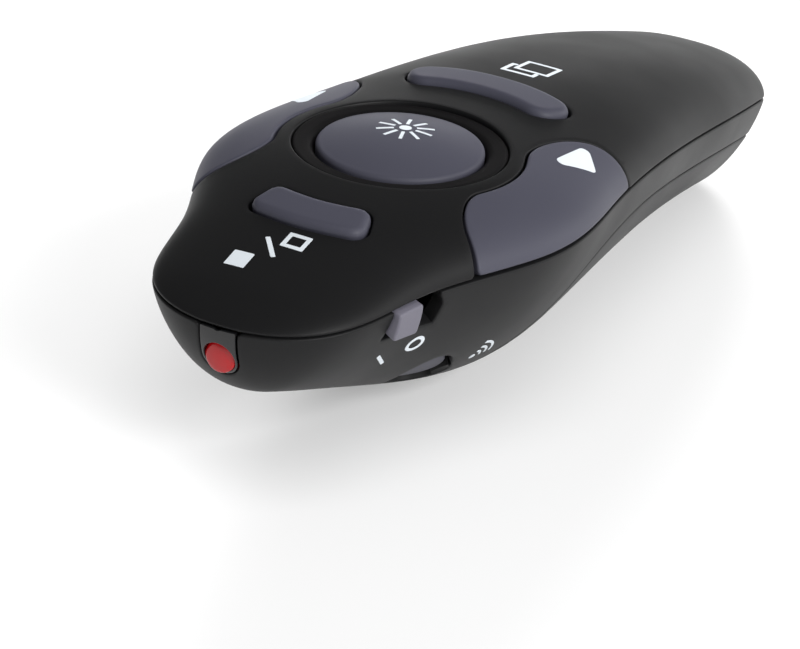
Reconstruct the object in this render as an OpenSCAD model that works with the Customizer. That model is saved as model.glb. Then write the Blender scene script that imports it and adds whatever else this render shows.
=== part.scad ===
// Hand-held wireless presenter: two soft-touch shells joined along a rising
// line, five keys around a round centre button, a laser in the nose, a power
// slide on the right flank, two AAA cells behind a long underside door and a
// USB receiver parked in the tail.
//
// Frame: +Z up from the desk, the nose points to -Y, the power slide is on +X.
// The origin lies on the desk under the middle of the body.

/* [Plan of the body] */
// Overall length from nose to tail
body_length = 110; // [104:1:118]
// Half width that the round nose grows towards
nose_half_width = 14.2; // [13.2:0.1:15.5]
// Half width at the neck, between the nose and the keys
neck_half_width = 13.1; // [12.4:0.1:14.5]
// Half width at the front ends of the page keys
shoulder_half_width = 19.1; // [18.2:0.1:20.5]
// Half width behind the centre button
waist_half_width = 18.3; // [17.6:0.1:19.5]
// Half width at the start of the palm
palm_half_width = 15.6; // [15:0.1:17]
// Half width where the tail begins
taper_half_width = 12.6; // [12:0.1:14]
// Half width that the round tail grows towards
tail_half_width = 8.1; // [7.6:0.1:10]
// Length over which the nose is rounded in plan
nose_round = 15.6; // [13:0.2:18]
// Length over which the tail is rounded in plan
tail_round = 8.3; // [7:0.1:11]

/* [Height of the parting line above the desk] */
// At the nose tip
nose_split = 17.6; // [16.8:0.1:18.6]
// At the neck
neck_split = 19.5; // [19:0.1:20.5]
// Below the centre button
middle_split = 20; // [19.6:0.1:20.8]
// Below the palm
palm_split = 17.8; // [17.2:0.1:18.6]
// At the tail tip
tail_split = 10.2; // [9.6:0.1:11]

/* [Crown of the top shell above the parting line] */
// At the nose tip
nose_crown = 1; // [0.8:0.1:1.6]
// At the neck
neck_crown = 5.2; // [5:0.1:6]
// Below the centre button
middle_crown = 5.7; // [5.5:0.1:6.5]
// Below the palm
palm_crown = 6.1; // [5.8:0.1:7]
// At the tail tip
tail_crown = 4.3; // [4:0.1:5.2]

/* [Depth of the bottom shell below the parting line] */
// At the nose tip
nose_depth = 6.3; // [5.8:0.1:7]
// At the neck
neck_depth = 15.3; // [14.8:0.1:15.8]
// Below the centre button, where the belly touches the desk
middle_depth = 20.2; // [20.1:0.1:20.6]
// Below the palm
palm_depth = 16.2; // [15.8:0.1:16.6]
// At the tail tip
tail_depth = 11.9; // [11.7:0.1:12.3]

/* [Walls and gaps] */
// Wall of the two shells
shell_wall = 1.6; // [1.3:0.1:1.8]
// Wall of the battery door
door_wall = 1.4; // [1.2:0.1:1.6]
// Open line between two mouldings
seam = 0.3; // [0.2:0.05:0.4]
// Gap around each key
key_gap = 0.25; // [0.15:0.05:0.35]
// Clearance between sliding faces
slide_gap = 0.1; // [0.05:0.01:0.15]

/* [Keys] */
// Centre of the round button, behind the nose tip
button_from_nose = 34.2; // [33.4:0.1:35]
// Radius of the round laser button
button_radius = 8.3; // [7.6:0.1:8.6]
// Outer radius of the ring around it
ring_radius = 10.6; // [10.2:0.1:10.9]
// How far each key travels when pressed
key_travel = 0.4; // [0.3:0.05:0.5]
// Height of the short and the long key above the shell
key_raise = 0.6; // [0.4:0.1:0.8]
// Wall of the key caps
key_wall = 1.2; // [1:0.1:1.3]
// Distance of the short front key from the button's centre
screen_key_distance = 17.65; // [17.4:0.05:17.9]
// Depth of the short front key, front to back
screen_key_depth = 4.3; // [3.8:0.1:4.6]
// Length of the short front key, side to side
screen_key_length = 11.9; // [11:0.1:12.6]
// Distance of the long rear key from the button's centre
window_key_distance = 19.25; // [19:0.05:19.8]
// Depth of the long rear key, front to back
window_key_depth = 5.2; // [4.6:0.1:5.6]
// Length of the long rear key, side to side
window_key_length = 17.8; // [16:0.1:18.6]
// Radius of the page keys' inner edge, around the button's centre
page_key_inner = 12.5; // [12.3:0.1:12.9]
// Angle of the page keys' front ends, ahead of the side direction
page_key_front_angle = 39; // [36:1:41]
// Angle of the page keys' rear ends, behind the side direction
page_key_rear_angle = 49; // [46:1:50]
// Height of the page keys' lower edge above the parting line
page_key_lift = 0.5; // [0.45:0.05:0.9]

/* [Power slide and connect button] */
// Where the slide's slot starts, behind the nose tip
slot_from_nose = 11.6; // [11.2:0.1:12]
// Length of the slot along the flank
slot_length = 6.7; // [6.5:0.1:6.9]
// Depth of the slot below the parting line
slot_depth = 3.7; // [3.5:0.1:3.9]
// Width of the slide knob along the slot
knob_width = 3.3; // [3.1:0.1:3.5]
// Travel of the slide knob
slide_travel = 3; // [2.6:0.1:3]
// Connect button's place, to the side of the middle
connect_side = 8.4; // [8.2:0.1:8.6]
// Connect button's place, behind the nose tip
connect_from_nose = 25.5; // [25.2:0.1:25.8]
// Radius of the connect button
connect_radius = 3; // [2.6:0.1:3.2]

/* [Laser] */
// Height of the beam above the desk
laser_height = 14.3; // [14.2:0.1:14.6]
// Radius of the lens
lens_radius = 1.6; // [1.3:0.1:1.7]
// Half width of the nose insert
insert_half_width = 1.9; // [1.85:0.05:2.2]
// Radius of the laser barrel
barrel_radius = 3; // [2.5:0.1:3]
// Length of the laser barrel
barrel_length = 8.3; // [7.8:0.1:8.6]

/* [Battery bay] */
// Diameter of one AAA cell
cell_diameter = 10.3; // [10.2:0.1:10.4]
// Length of one AAA cell, with its nub
cell_length = 44.5; // [44:0.1:44.5]
// Space between the two cells
cell_spacing = 0.2; // [0.1:0.1:0.3]
// Height of the cells' axes above the desk
cell_height = 12.85; // [12.8:0.05:12.9]
// Clearance between a cell and the tray
cell_gap = 0.15; // [0.1:0.05:0.2]
// Wall of the battery tray
tray_wall = 0.5; // [0.4:0.05:0.5]
// Front end of the bay, ahead of the middle of the body
bay_front = 21.6; // [21.4:0.1:22]
// Length of one contact spring at rest
spring_length = 3.6; // [3.4:0.1:3.8]
// How far the door's edge lies below the parting line
door_drop = 4.6; // [4.4:0.1:4.8]
// Where the door's edge starts to curve down, behind the middle of the body
door_bend = 10; // [9:0.5:11]
// Length of that curve, towards the nose
door_reach = 32; // [31.5:0.5:32.5]
// Travel of the door along its rails
door_travel = 12; // [8:1:14]

/* [Electronics] */
// Height of the main board's top above the desk
board_top = 19.7; // [19.7:0.05:19.75]
// Thickness of the main board
board_thickness = 1; // [0.8:0.1:1]
// Gap between the board and the shell's widest outline
board_inset = 2.7; // [2.6:0.1:3]
// Side of one key switch
switch_side = 4.5; // [4.2:0.1:4.6]
// Height of one key switch, without its plunger
switch_height = 1.6; // [1.5:0.05:1.6]
// Radius of a switch plunger
plunger_radius = 1.2; // [1:0.1:1.4]
// How far a plunger stands out of its switch
plunger_rise = 0.6; // [0.55:0.05:0.6]

/* [Receiver] */
// Width of the USB plug
plug_width = 12; // [11.8:0.1:12]
// Thickness of the USB plug
plug_thickness = 4.5; // [4.3:0.1:4.5]
// Length of the USB plug
plug_length = 11.5; // [11:0.1:11.8]
// How far the receiver's cap is wider and thicker than its plug, in all
cap_margin = 0.9; // [0.7:0.1:1]
// Front end of the plug, ahead of the tail tip
plug_from_tail = 19.4; // [19:0.1:19.6]

/* [Fasteners] */
// Radius of the shell screws' shafts
shell_screw_radius = 1; // [0.9:0.05:1.1]
// Radius of the board screws' shafts
board_screw_radius = 0.8; // [0.7:0.05:0.9]

/* [Hidden] */
$fn = 48;

half_length = body_length / 2;
far = 80;                  // reach of the cutting blocks, past the body
overlap = 0.01;            // how far a cutter passes the face it opens

// Colours of the pieces
shell_colour = "#252527";
key_colour = "#555560";
knob_colour = "#8a8894";
dark_colour = "#151516";
board_colour = "#1f5c3a";
steel_colour = "#b9bcc0";

// ---- form of the body --------------------------------------------------

// Stations along the body, as shares of its length, and the sizes there
width_stations = [0, 0.13, 0.27, 0.42, 0.6, 0.8, 1];
height_stations = [0, 0.2, 0.4, 0.65, 1];
half_widths = [
  nose_half_width, neck_half_width, shoulder_half_width, waist_half_width,
  palm_half_width, taper_half_width, tail_half_width
];
splits = [nose_split, neck_split, middle_split, palm_split, tail_split];
crowns = [nose_crown, neck_crown, middle_crown, palm_crown, tail_crown];
depths = [nose_depth, neck_depth, middle_depth, palm_depth, tail_depth];
crown_round = [5.8, 10.9]; // rounding of the side view at the nose and the tail
end_power = 2.3;           // how full the rounded ends are
crown_powers = [2.5, 1.9]; // fullness of the cross-section above the parting line
belly_powers = [2.1, 1.3]; // and below it

// Second derivatives at the stations of the smooth curve through the values
function curve_bends(s, v) =
  let (
    last = len(s) - 1,
    pull = function (i) 6 * ((v[i+1] - v[i]) / (s[i+1] - s[i]) - (v[i] - v[i-1]) / (s[i] - s[i-1])),
    down = [for (
      i = 1, m = 2 * (s[2] - s[0]), c = (s[2] - s[1]) / m, d = pull(1) / m;
      i < last;
      i = i + 1,
      m = i < last ? 2 * (s[i+1] - s[i-1]) - (s[i] - s[i-1]) * c : 1,
      d = i < last ? (pull(i) - (s[i] - s[i-1]) * d) / m : 0,
      c = i < last ? (s[i+1] - s[i]) / m : 0
    ) [c, d]],
    up = [for (
      i = last - 1, b = down[last-2][1];
      i > 0;
      i = i - 1, b = i > 0 ? down[i-1][1] - down[i-1][0] * b : 0
    ) b]
  )
  [0, for (i = [last-2:-1:0]) up[i], 0];

function curve_at(s, v, bends, t, i = 0) =
  i < len(s) - 2 && t > s[i+1] ? curve_at(s, v, bends, t, i + 1) :
  let (h = s[i+1] - s[i], a = (s[i+1] - t) / h, b = 1 - a)
  a * v[i] + b * v[i+1]
    + ((pow(a, 3) - a) * bends[i] + (pow(b, 3) - b) * bends[i+1]) * h * h / 6;

width_bends = curve_bends(width_stations, half_widths);
split_bends = curve_bends(height_stations, splits);
crown_bends = curve_bends(height_stations, crowns);
depth_bends = curve_bends(height_stations, depths);

// Share of the full size at distance d from a rounded end of length a
function end_share(d, a) = sqrt(max(0, 1 - pow(max(0, 1 - d / a), end_power)));
function both_ends(y, at_nose, at_tail) =
  end_share(half_length + y, at_nose) * end_share(half_length - y, at_tail);
function share(y) = min(1, max(0, (y + half_length) / body_length));

function half_width(y) =
  curve_at(width_stations, half_widths, width_bends, share(y)) * both_ends(y, nose_round, tail_round);
function split_z(y) = curve_at(height_stations, splits, split_bends, share(y));
function crown(y) =
  curve_at(height_stations, crowns, crown_bends, share(y)) * both_ends(y, crown_round[0], crown_round[1]);
function depth(y) =
  curve_at(height_stations, depths, depth_bends, share(y)) * both_ends(y, crown_round[0], crown_round[1]);
function bulge(r, powers) = pow(max(0, 1 - pow(min(1, abs(r)), powers[0])), 1 / powers[1]);
function top_z(x, y) = split_z(y) + crown(y) * bulge(x / half_width(y), crown_powers);
function bottom_z(x, y) = split_z(y) - depth(y) * bulge(x / half_width(y), belly_powers);

// The body's form, grown or, with a negative number, shrunk by a wall
ring_count = 34;           // cross-sections along the body
side_count = 12;           // steps across each half of a cross-section
edge_power = 0.85;         // gathers the steps towards the parting line
// A size less the wall; where the wall would eat most of it up, a shrinking
// rest is left, so that no two walls ever fall together
function left_over(x) = x < 0.5 ? 1 - x : 0.25 / x;
function grown(size, grow) = size * left_over(-grow / size);
function cross_section(y, grow) =
  let (
    z0 = split_z(y),
    w = grown(half_width(y), grow),
    up = grown(crown(y), grow),
    down = grown(depth(y), grow),
    stretch = (half_length + grow) / half_length
  )
  [for (j = [0:2*side_count-1])
    let (
      c = cos(180 * j / side_count),
      r = sign(c) * pow(abs(c), edge_power)
    )
    [w * r, y * stretch, j <= side_count
      ? z0 + up * bulge(r, crown_powers)
      : z0 - down * bulge(r, belly_powers)]
  ];

module form(grow = 0) {
  n = 2 * side_count;
  last = (ring_count - 1) * n;
  places = [for (i = [1:ring_count]) -half_length * cos(180 * i / (ring_count + 1))];
  polyhedron(
    points = concat(
      [for (y = places) each cross_section(y, grow)],
      [[0, -half_length - grow, nose_split], [0, half_length + grow, tail_split]]
    ),
    faces = concat(
      [for (j = [0:n-1]) [j, ring_count * n, (j + 1) % n]],
      [for (j = [0:n-1]) [last + j, last + (j + 1) % n, ring_count * n + 1]],
      [for (i = [0:ring_count-2], j = [0:n-1])
        let (a = i * n + j, b = i * n + (j + 1) % n)
        each [[a, b, a + n], [b, b + n, a + n]]
      ]
    ),
    convexity = 6
  );
}

// A moulding of free form: its walls are worked out as one surface
module moulded() {
  resize([0, 0, 0]) children();
}

// A block across the whole body whose side view is the given outline
module side_block(outline) {
  translate([-far / 2, 0, 0]) rotate([90, 0, 90]) linear_extrude(far) polygon(outline);
}

side_step = 2.5;           // spacing of the points along a side view's curve
side_places = [for (y = [-half_length-5:side_step:half_length+5]) y];
module above_split(lift = 0) {
  side_block(concat(
    [for (y = side_places) [y, split_z(y) + lift]],
    [[far, far], [-far, far]]
  ));
}
module below_split(drop = 0) {
  side_block(concat(
    [for (y = side_places) [y, split_z(y) - drop]],
    [[far, -far], [-far, -far]]
  ));
}
module split_band(low, high) {
  intersection() {
    above_split(low);
    below_split(-high);
  }
}

// Side view of the battery door: parallel to the parting line at the tail,
// then a quarter of an oval down to the belly
door_front = door_bend - door_reach;
function door_edge(y) =
  (split_z(y) - door_drop) * sqrt(max(0, 1 - pow(max(0, door_bend - y) / door_reach, 2)));
module door_zone(lower = 0) {
  places = [for (a = [0:6:90]) door_bend - door_reach * cos(a)];
  side_block(concat(
    [[door_front + lower, -far]],
    [for (y = places) [y + lower * (door_bend - y) / door_reach, door_edge(y) - lower]],
    [for (y = [door_bend + side_step:side_step:half_length + 5]) [y, door_edge(y) - lower]],
    [[far, door_edge(half_length) - lower], [far, -far]]
  ));
}

// ---- outlines of the keys, bent around the button's centre --------------

button_y = button_from_nose - half_length;
corner_step = 15;
function corner(x, y, r, start) =
  [for (a = [0:corner_step:90]) [x + r * cos(start + a), y + r * sin(start + a)]];

// A band with rounded corners: along from s0 to s1, out from p0 to p1.
// c0 and c1 round the inner corners at s0 and s1, c2 and c3 the outer ones.
edge_parts = 8;
function band(s0, s1, p0, p1, c0, c1, c2, c3) = concat(
  corner(s1 - c3, p1 - c3, c3, 0),
  [for (i = [1:edge_parts-1]) [s1 - c3 + (s0 - s1 + c2 + c3) * i / edge_parts, p1]],
  corner(s0 + c2, p1 - c2, c2, 90),
  corner(s0 + c0, p0 + c0, c0, 180),
  [for (i = [1:edge_parts-1]) [s0 + c0 + (s1 - s0 - c0 - c1) * i / edge_parts, p0]],
  corner(s1 - c1, p0 + c1, c1, 270)
);
// Wraps a band around the button; its zero lies in the direction given
function around_button(points, reference, direction) =
  [for (p = points)
    let (a = direction + p[0] / reference * 180 / PI)
    [p[1] * cos(a), button_y + p[1] * sin(a)]
  ];
function short_band(distance, wide, long, round, grow) =
  band(
    -long / 2 - grow, long / 2 + grow, distance - wide / 2 - grow, distance + wide / 2 + grow,
    round + grow, round + grow, round + grow, round + grow
  );

screen_key_round = 1.4;
window_key_round = 2.2;
page_key_outer = 24.4;     // past the side of the body, but for the rear corner
page_key_middle = 18;      // radius at which the corners below are true
page_key_rounds = [5, 7.4, 4.5]; // front inner, rear inner and rear outer corner
function along(angle) = page_key_middle * angle * PI / 180;

function screen_key_outline(grow = 0) = around_button(
  short_band(screen_key_distance, screen_key_depth, screen_key_length, screen_key_round, grow),
  screen_key_distance, -90
);
function window_key_outline(grow = 0) = around_button(
  short_band(window_key_distance, window_key_depth, window_key_length, window_key_round, grow),
  window_key_distance, 90
);
function page_key_outline(grow = 0) = around_button(
  band(
    along(-page_key_front_angle) - grow, along(page_key_rear_angle) + grow,
    page_key_inner - grow, page_key_outer + grow,
    page_key_rounds[0] + grow, page_key_rounds[1] + grow, 0.5, page_key_rounds[2] + grow
  ),
  page_key_middle, 0
);
module column(outline) {
  linear_extrude(far / 2) polygon(outline);
}

// The button and its ring sit square to the shell, which leans a little here
button_tilt = atan((top_z(0, button_y + 10) - top_z(0, button_y - 10)) / 20);
button_seat = (
  top_z(0, button_y - ring_radius) + top_z(0, button_y + ring_radius) + 2 * top_z(ring_radius, button_y)
) / 4;
module at_button() {
  translate([0, button_y, button_seat]) rotate([button_tilt, 0, 0]) children();
}

// ---- places that several pieces share ------------------------------------

board_front = half_length - 14;
board_rear = 8;
board_corner = 2;
board_bottom = board_top - board_thickness;
switch_top = board_top + switch_height;
plunger_top = switch_top + plunger_rise;
switch_floor = 0.35;       // bottom of a switch, under its plunger
page_switch_x = 13.6;
page_switch_y = button_y + 3.3;
screen_switch_y = button_y - screen_key_distance + 0.7;
window_switch_y = button_y + window_key_distance;
key_switch_places = [
  [0, button_y], [0, screen_switch_y], [0, window_switch_y],
  [-page_switch_x, page_switch_y], [page_switch_x, page_switch_y]
];
connect_y = connect_from_nose - half_length;
connect_switch_bottom = board_bottom - switch_height;
connect_plunger_bottom = connect_switch_bottom - plunger_rise;

flange = 0.8;              // how far a key's rim reaches under the shell
rim_height = 0.6;          // thickness of that rim
ring_bore = button_radius + key_gap / 2;

cell_radius = cell_diameter / 2;
cell_x = cell_radius + cell_spacing / 2;
tray_bore = cell_radius + cell_gap;
tray_radius = tray_bore + tray_wall;
tray_plate = 1.2;
contact_thickness = 0.4;
bay_length = cell_length + spring_length + 2 * contact_thickness;
bay_rear = bay_length - bay_front;

screw_places = [for (x = [-12.1, 12.1]) [x, 3]];
tail_screw_y = half_length - 21.7;
tail_screw_places = [for (x = [-7.2, 7.2]) [x, tail_screw_y]];
board_screw_places = [for (x = [-4.5, 4.5]) [x, 21.95 - half_length]];
pad_top = 17;
pad_height = 1.2;
pad_radius = 2;
head_radius = 1.6;
head_height = 0.9;
boss_wall = 0.9;
board_boss_wall = 0.6;
boss_radius = shell_screw_radius + boss_wall;
thread_gap = 0.05;
// The bottom shell's floor over the door's tail
floor_low = 0.25;
floor_high = 1.25;
tail_floor_top = split_z(tail_screw_y) - door_drop + floor_high;
// The screws' heads end here
screw_start = pad_top - pad_height;
tail_screw_start = tail_floor_top - floor_high + floor_low - 0.4;
shell_screw_length = 6;
board_screw_length = 3.2;

receiver_middle = half_length - 11; // where the receiver lies parallel to the parting line
receiver_tilt = atan((split_z(receiver_middle + 9) - split_z(receiver_middle - 9)) / 18);
plug_start = half_length - plug_from_tail;
module at_receiver() {
  translate([0, receiver_middle, split_z(receiver_middle)]) rotate([receiver_tilt, 0, 0]) children();
}
cap_width = plug_width + cap_margin;
cap_thickness = plug_thickness + cap_margin;
plug_near = (plug_start - receiver_middle) / cos(receiver_tilt);
plug_far = plug_near + plug_length;

insert_bottom = laser_height - insert_half_width;
lens_front = half_length - 0.7;
lens_back = half_length - 2.4;
barrel_front = half_length - 5.2;
barrel_back = barrel_front - barrel_length;

slot_front = half_length - slot_from_nose;
slot_rear = slot_front - slot_length;
knob_front = slot_front - slide_gap;
knob_rear = knob_front - knob_width;
lever_front = knob_rear + 0.5;
lever_size = 1.2;
slide_body_outer = 9.8;
slide_body_depth = 3.4;
slide_body_height = 3.4;
slide_body_margin = 1.7;
slot_level = (split_z(-slot_front) + split_z(-slot_rear)) / 2;
lever_height = board_bottom - slide_body_height / 2;

// ---- shells ---------------------------------------------------------------

module receiver_passage(length_before) {
  at_receiver()
    translate([-cap_width / 2 - slide_gap, -length_before, -cap_thickness / 2 - slide_gap])
    cube([cap_width + 2 * slide_gap, far, cap_thickness + 2 * slide_gap]);
}

module screw_boss(place, from_z, radius) {
  translate([place[0], place[1], from_z]) cylinder(h = far, r = radius);
}

module thread(place, screw_end, radius) {
  translate([place[0], place[1], 0]) cylinder(h = screw_end + 0.4, r = radius + thread_gap, $fn = 24);
}

module top_shell() {
  color(shell_colour) moulded() difference() {
    union() {
      intersection() {
        difference() {
          form();
          form(-shell_wall);
        }
        above_split(seam / 2);
      }
      intersection() {
        form(-shell_wall / 2);
        union() {
          for (p = screw_places) screw_boss(p, board_top, boss_radius);
          intersection() {
            for (p = tail_screw_places) screw_boss(p, 0, boss_radius);
            above_split(floor_high - door_drop + thread_gap);
          }
          for (p = board_screw_places) screw_boss(p, board_top, board_screw_radius + board_boss_wall);
        }
      }
    }
    at_button() translate([0, 0, -4]) cylinder(h = 9, r = ring_radius + seam / 2);
    column(screen_key_outline(key_gap));
    column(window_key_outline(key_gap));
    column(page_key_outline(key_gap));
    mirror([1, 0, 0]) column(page_key_outline(key_gap));
    for (p = screw_places) thread(p, screw_start + shell_screw_length, shell_screw_radius);
    for (p = tail_screw_places) thread(p, tail_screw_start + shell_screw_length, shell_screw_radius);
    for (p = board_screw_places) thread(p, board_bottom + board_screw_length, board_screw_radius);
    receiver_passage(8);
  }
}

// Hollow of the connect button: a shallow dish with the button's hole in it
dish_radius = 6;
dish_side = 2.6;           // the dish's centre lies outwards and down
dish_down = 4;
module connect_hollow() {
  translate([connect_side, connect_y, 0]) {
    cylinder(h = 14, r = connect_radius + key_gap);
    translate([dish_side, -1, bottom_z(connect_side, connect_y) - dish_down]) sphere(r = dish_radius);
  }
}

connect_guide_top = 12;
lip_start = half_length - 19; // the joining lip stops clear of the page keys
lip_rear = board_rear + 0.5; // and of the board
lip_height = 1.2;
lip_wall = 0.7;
module joining_lip() {
  intersection() {
    union() {
      intersection() {
        form(-shell_wall - 0.05);
        split_band(-lip_height, lip_height);
      }
      intersection() {
        form(-shell_wall + 0.4);
        split_band(-2 * lip_height, -seam);
      }
    }
    union() {
      translate([-far / 2, -far - lip_start, 0]) cube([far, far, far]);
      translate([-far / 2, lip_rear, 0]) cube([far, far, far]);
    }
  }
}

module saddle(y) {
  intersection() {
    form(-shell_wall / 2);
    translate([-barrel_radius, y, 0]) cube([2 * barrel_radius, 1.2, laser_height - 1]);
  }
}

module slide_slot() {
  translate([0, -slot_front, slot_level - slot_depth])
    cube([far, slot_length, far]);
}

module insert_outline(gap) {
  translate([0, laser_height]) circle(r = insert_half_width + gap);
  translate([-insert_half_width - gap, laser_height]) square([2 * (insert_half_width + gap), far]);
}
module insert_block(gap, back) {
  translate([0, -back, 0]) rotate([90, 0, 0]) linear_extrude(far) insert_outline(gap);
}
insert_back = half_length - 4;

module under_desk() {
  translate([-far, -far, -far]) cube([2 * far, 2 * far, far]);
}

module bottom_shell() {
  color(shell_colour) moulded() difference() {
    union() {
      difference() {
        intersection() {
          difference() {
            form();
            form(-shell_wall);
          }
          below_split(seam / 2);
        }
        door_zone(-seam / 2);
      }
      difference() {
        joining_lip();
        form(-shell_wall - lip_wall);
        door_zone(-seam);
        for (p = tail_screw_places) screw_boss(p, 0, boss_radius + seam / 2);
      }
      // floor over the door's tail, with the receiver's guides on it
      intersection() {
        form(-shell_wall / 2);
        split_band(floor_low - door_drop, floor_high - door_drop);
        translate([-far / 2, bay_rear + tray_plate + 0.5, 0]) cube([far, 20, far]);
      }
      intersection() {
        form(-shell_wall);
        split_band(floor_low - door_drop, -0.6);
        for (side = [-1, 1])
          translate([side * (cap_width / 2 + 0.5) - 0.35, plug_start + 0.9, 0]) cube([0.7, 9.5, far]);
      }
      // pads for the shell screws
      intersection() {
        form(-shell_wall / 2);
        for (p = screw_places) {
          translate([p[0], p[1], pad_top - pad_height]) cylinder(h = pad_height, r = pad_radius);
          translate([p[0] > 0 ? p[0] : p[0] - 3, p[1] - pad_radius, pad_top - pad_height])
            cube([3, 2 * pad_radius, pad_height]);
        }
      }
      // guide of the connect button
      intersection() {
        form(-shell_wall / 2);
        translate([connect_side, connect_y, 0])
          cylinder(h = connect_guide_top, r = connect_radius + key_gap + boss_wall);
      }
      saddle(1.3 - barrel_front);
      saddle(-2 - barrel_back);
    }
    connect_hollow();
    slide_slot();
    insert_block(seam / 2, insert_back - 1);
    translate([0, 1 - barrel_back, laser_height])
      rotate([90, 0, 0]) cylinder(h = barrel_length + 1.3, r = barrel_radius + slide_gap);
    for (p = concat(screw_places, tail_screw_places))
      translate([p[0], p[1], 0]) cylinder(h = far, r = shell_screw_radius + slide_gap, $fn = 24);
    receiver_passage(8);
    under_desk();
  }
}

module battery_door() {
  color(shell_colour) moulded() difference() {
    intersection() {
      difference() {
        form();
        form(-door_wall);
      }
      door_zone(seam / 2);
    }
    // flats that the presenter rests on
    under_desk();
  }
}

// ---- keys -------------------------------------------------------------------

// Levels of the ring, below the shell around it: its face, the top of its
// flange, the shelf over the button's rim, and its bottom
ring_levels = [0.2, 2.15, 2.5, 2.9];
ring_chamfer = 0.9;        // width of the sloping edge inside its face
module button_ring() {
  color(dark_colour) at_button() difference() {
    union() {
      translate([0, 0, -ring_levels[3]]) cylinder(h = ring_levels[3] - ring_levels[0], r = ring_radius);
      translate([0, 0, -ring_levels[3]])
        cylinder(h = ring_levels[3] - ring_levels[1], r = ring_radius + flange);
    }
    translate([0, 0, -ring_levels[3] - 1]) cylinder(h = ring_levels[3] + 2, r = ring_bore);
    translate([0, 0, -ring_levels[3] - 1])
      cylinder(h = ring_levels[3] - ring_levels[2] + 1, r = button_radius + flange + 2 * key_gap);
    translate([0, 0, -ring_levels[0] - ring_chamfer])
      cylinder(h = ring_chamfer + overlap, r1 = ring_bore - overlap, r2 = ring_bore + ring_chamfer);
  }
}

button_dome = 30;          // radius of the button's domed face
button_crown = 1.05;       // its height at the middle, above the shell
button_rim_top = ring_levels[2] + key_gap;
button_rim = 0.45;         // thickness of the button's rim
module laser_button() {
  color(key_colour) {
    at_button() {
      intersection() {
        translate([0, 0, -button_rim_top - 0.2]) cylinder(h = 5, r = button_radius);
        translate([0, 0, button_crown - button_dome]) sphere(r = button_dome, $fn = 96);
      }
      translate([0, 0, -button_rim_top - button_rim]) cylinder(h = button_rim, r = button_radius + flange);
    }
    translate([0, button_y, plunger_top]) cylinder(h = 1.2, r = 1.6);
  }
}

module plunger(place) {
  translate([place[0], place[1], plunger_top - plunger_rise - 0.75])
    cylinder(h = plunger_rise + 0.75, r = plunger_radius);
}

module key_cap(outline, raise) {
  intersection() {
    column(outline);
    above_split();
    difference() {
      form(raise);
      form(-key_wall);
    }
  }
}

// Rim of a key, under the shell; it is kept off the board by its low limit
module key_rim(outline) {
  intersection() {
    column(outline);
    above_split();
    difference() {
      form(-shell_wall - slide_gap);
      form(-shell_wall - slide_gap - rim_height);
    }
  }
}

module key_post(place, height) {
  translate([place[0], place[1], plunger_top]) cylinder(h = height, r = 1.5);
}

tab_length = 2;            // the short and the long key catch the shell at both ends
module bar_key(outline, rim_outline, place, half_long) {
  color(key_colour) moulded() union() {
    key_cap(outline, key_raise);
    difference() {
      key_rim(rim_outline);
      translate([-half_long + tab_length, place[1] - 6, 0]) cube([2 * (half_long - tab_length), 12, far]);
    }
    intersection() {
      column(outline);
      form(-key_wall + 0.3);
      for (side = [-1, 1])
        translate([side * (half_long - tab_length / 2) - tab_length / 2, place[1] - 1.2, board_top + 1.2])
          cube([tab_length, 2.4, 5]);
    }
    intersection() {
      form(-key_wall + 0.3);
      key_post(place, 4);
    }
  }
}
module screen_key() {
  bar_key(screen_key_outline(), screen_key_outline(flange), [0, screen_switch_y], screen_key_length / 2);
}
module window_key() {
  bar_key(window_key_outline(), window_key_outline(flange), [0, window_switch_y], window_key_length / 2);
}

module page_key() {
  color(key_colour) moulded() difference() {
    union() {
      intersection() {
        key_cap(page_key_outline(), 0.1);
        above_split(page_key_lift);
      }
      intersection() {
        key_rim(page_key_outline(flange));
        above_split(2.6);
      }
      intersection() {
        form(-key_wall + 0.3);
        difference() {
          column(page_key_outline(-0.4));
          column(page_key_outline(-1.6));
        }
        translate([0, button_y - 30, plunger_top]) cube([page_switch_x, 60, 4]);
      }
      intersection() {
        form(-key_wall + 0.3);
        key_post([page_switch_x, page_switch_y], 4);
      }
    }
    at_button() translate([0, 0, -6]) cylinder(h = 12, r = ring_radius + flange + key_gap);
  }
}
module right_page_key() {
  page_key();
}
module left_page_key() {
  mirror([1, 0, 0]) page_key();
}

module laser_plunger() {
  color(dark_colour) plunger(key_switch_places[0]);
}
module screen_plunger() {
  color(dark_colour) plunger(key_switch_places[1]);
}
module window_plunger() {
  color(dark_colour) plunger(key_switch_places[2]);
}
module left_plunger() {
  color(dark_colour) plunger(key_switch_places[3]);
}
module right_plunger() {
  color(dark_colour) plunger(key_switch_places[4]);
}

module switch_body() {
  difference() {
    translate([-switch_side / 2, -switch_side / 2, 0]) cube([switch_side, switch_side, switch_height]);
    translate([0, 0, switch_floor]) cylinder(h = switch_height, r = plunger_radius + slide_gap / 2);
  }
}
module key_switches() {
  color(steel_colour) for (p = key_switch_places) translate([p[0], p[1], board_top]) switch_body();
}

// ---- nose ---------------------------------------------------------------------

module nose_insert() {
  color(dark_colour) moulded() difference() {
    intersection() {
      form();
      insert_block(0, insert_back);
      below_split(seam / 2);
    }
    translate([0, 0, laser_height]) rotate([90, 0, 0]) cylinder(h = far, r = lens_radius + 0.05);
  }
}

module laser_lens() {
  color("#c4161c") translate([0, -lens_back, laser_height]) rotate([90, 0, 0]) {
    cylinder(h = lens_front - lens_back, r = lens_radius);
  }
}

module laser_barrel() {
  color("#b08d3e") translate([0, 0, laser_height]) rotate([90, 0, 0]) difference() {
    union() {
      translate([0, 0, barrel_back]) cylinder(h = barrel_length, r = barrel_radius);
      translate([0, 0, barrel_front - overlap]) cylinder(h = 2.6, r = lens_radius - 0.05);
    }
    translate([0, 0, barrel_front - 2]) cylinder(h = far, r = 0.8);
  }
}

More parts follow.
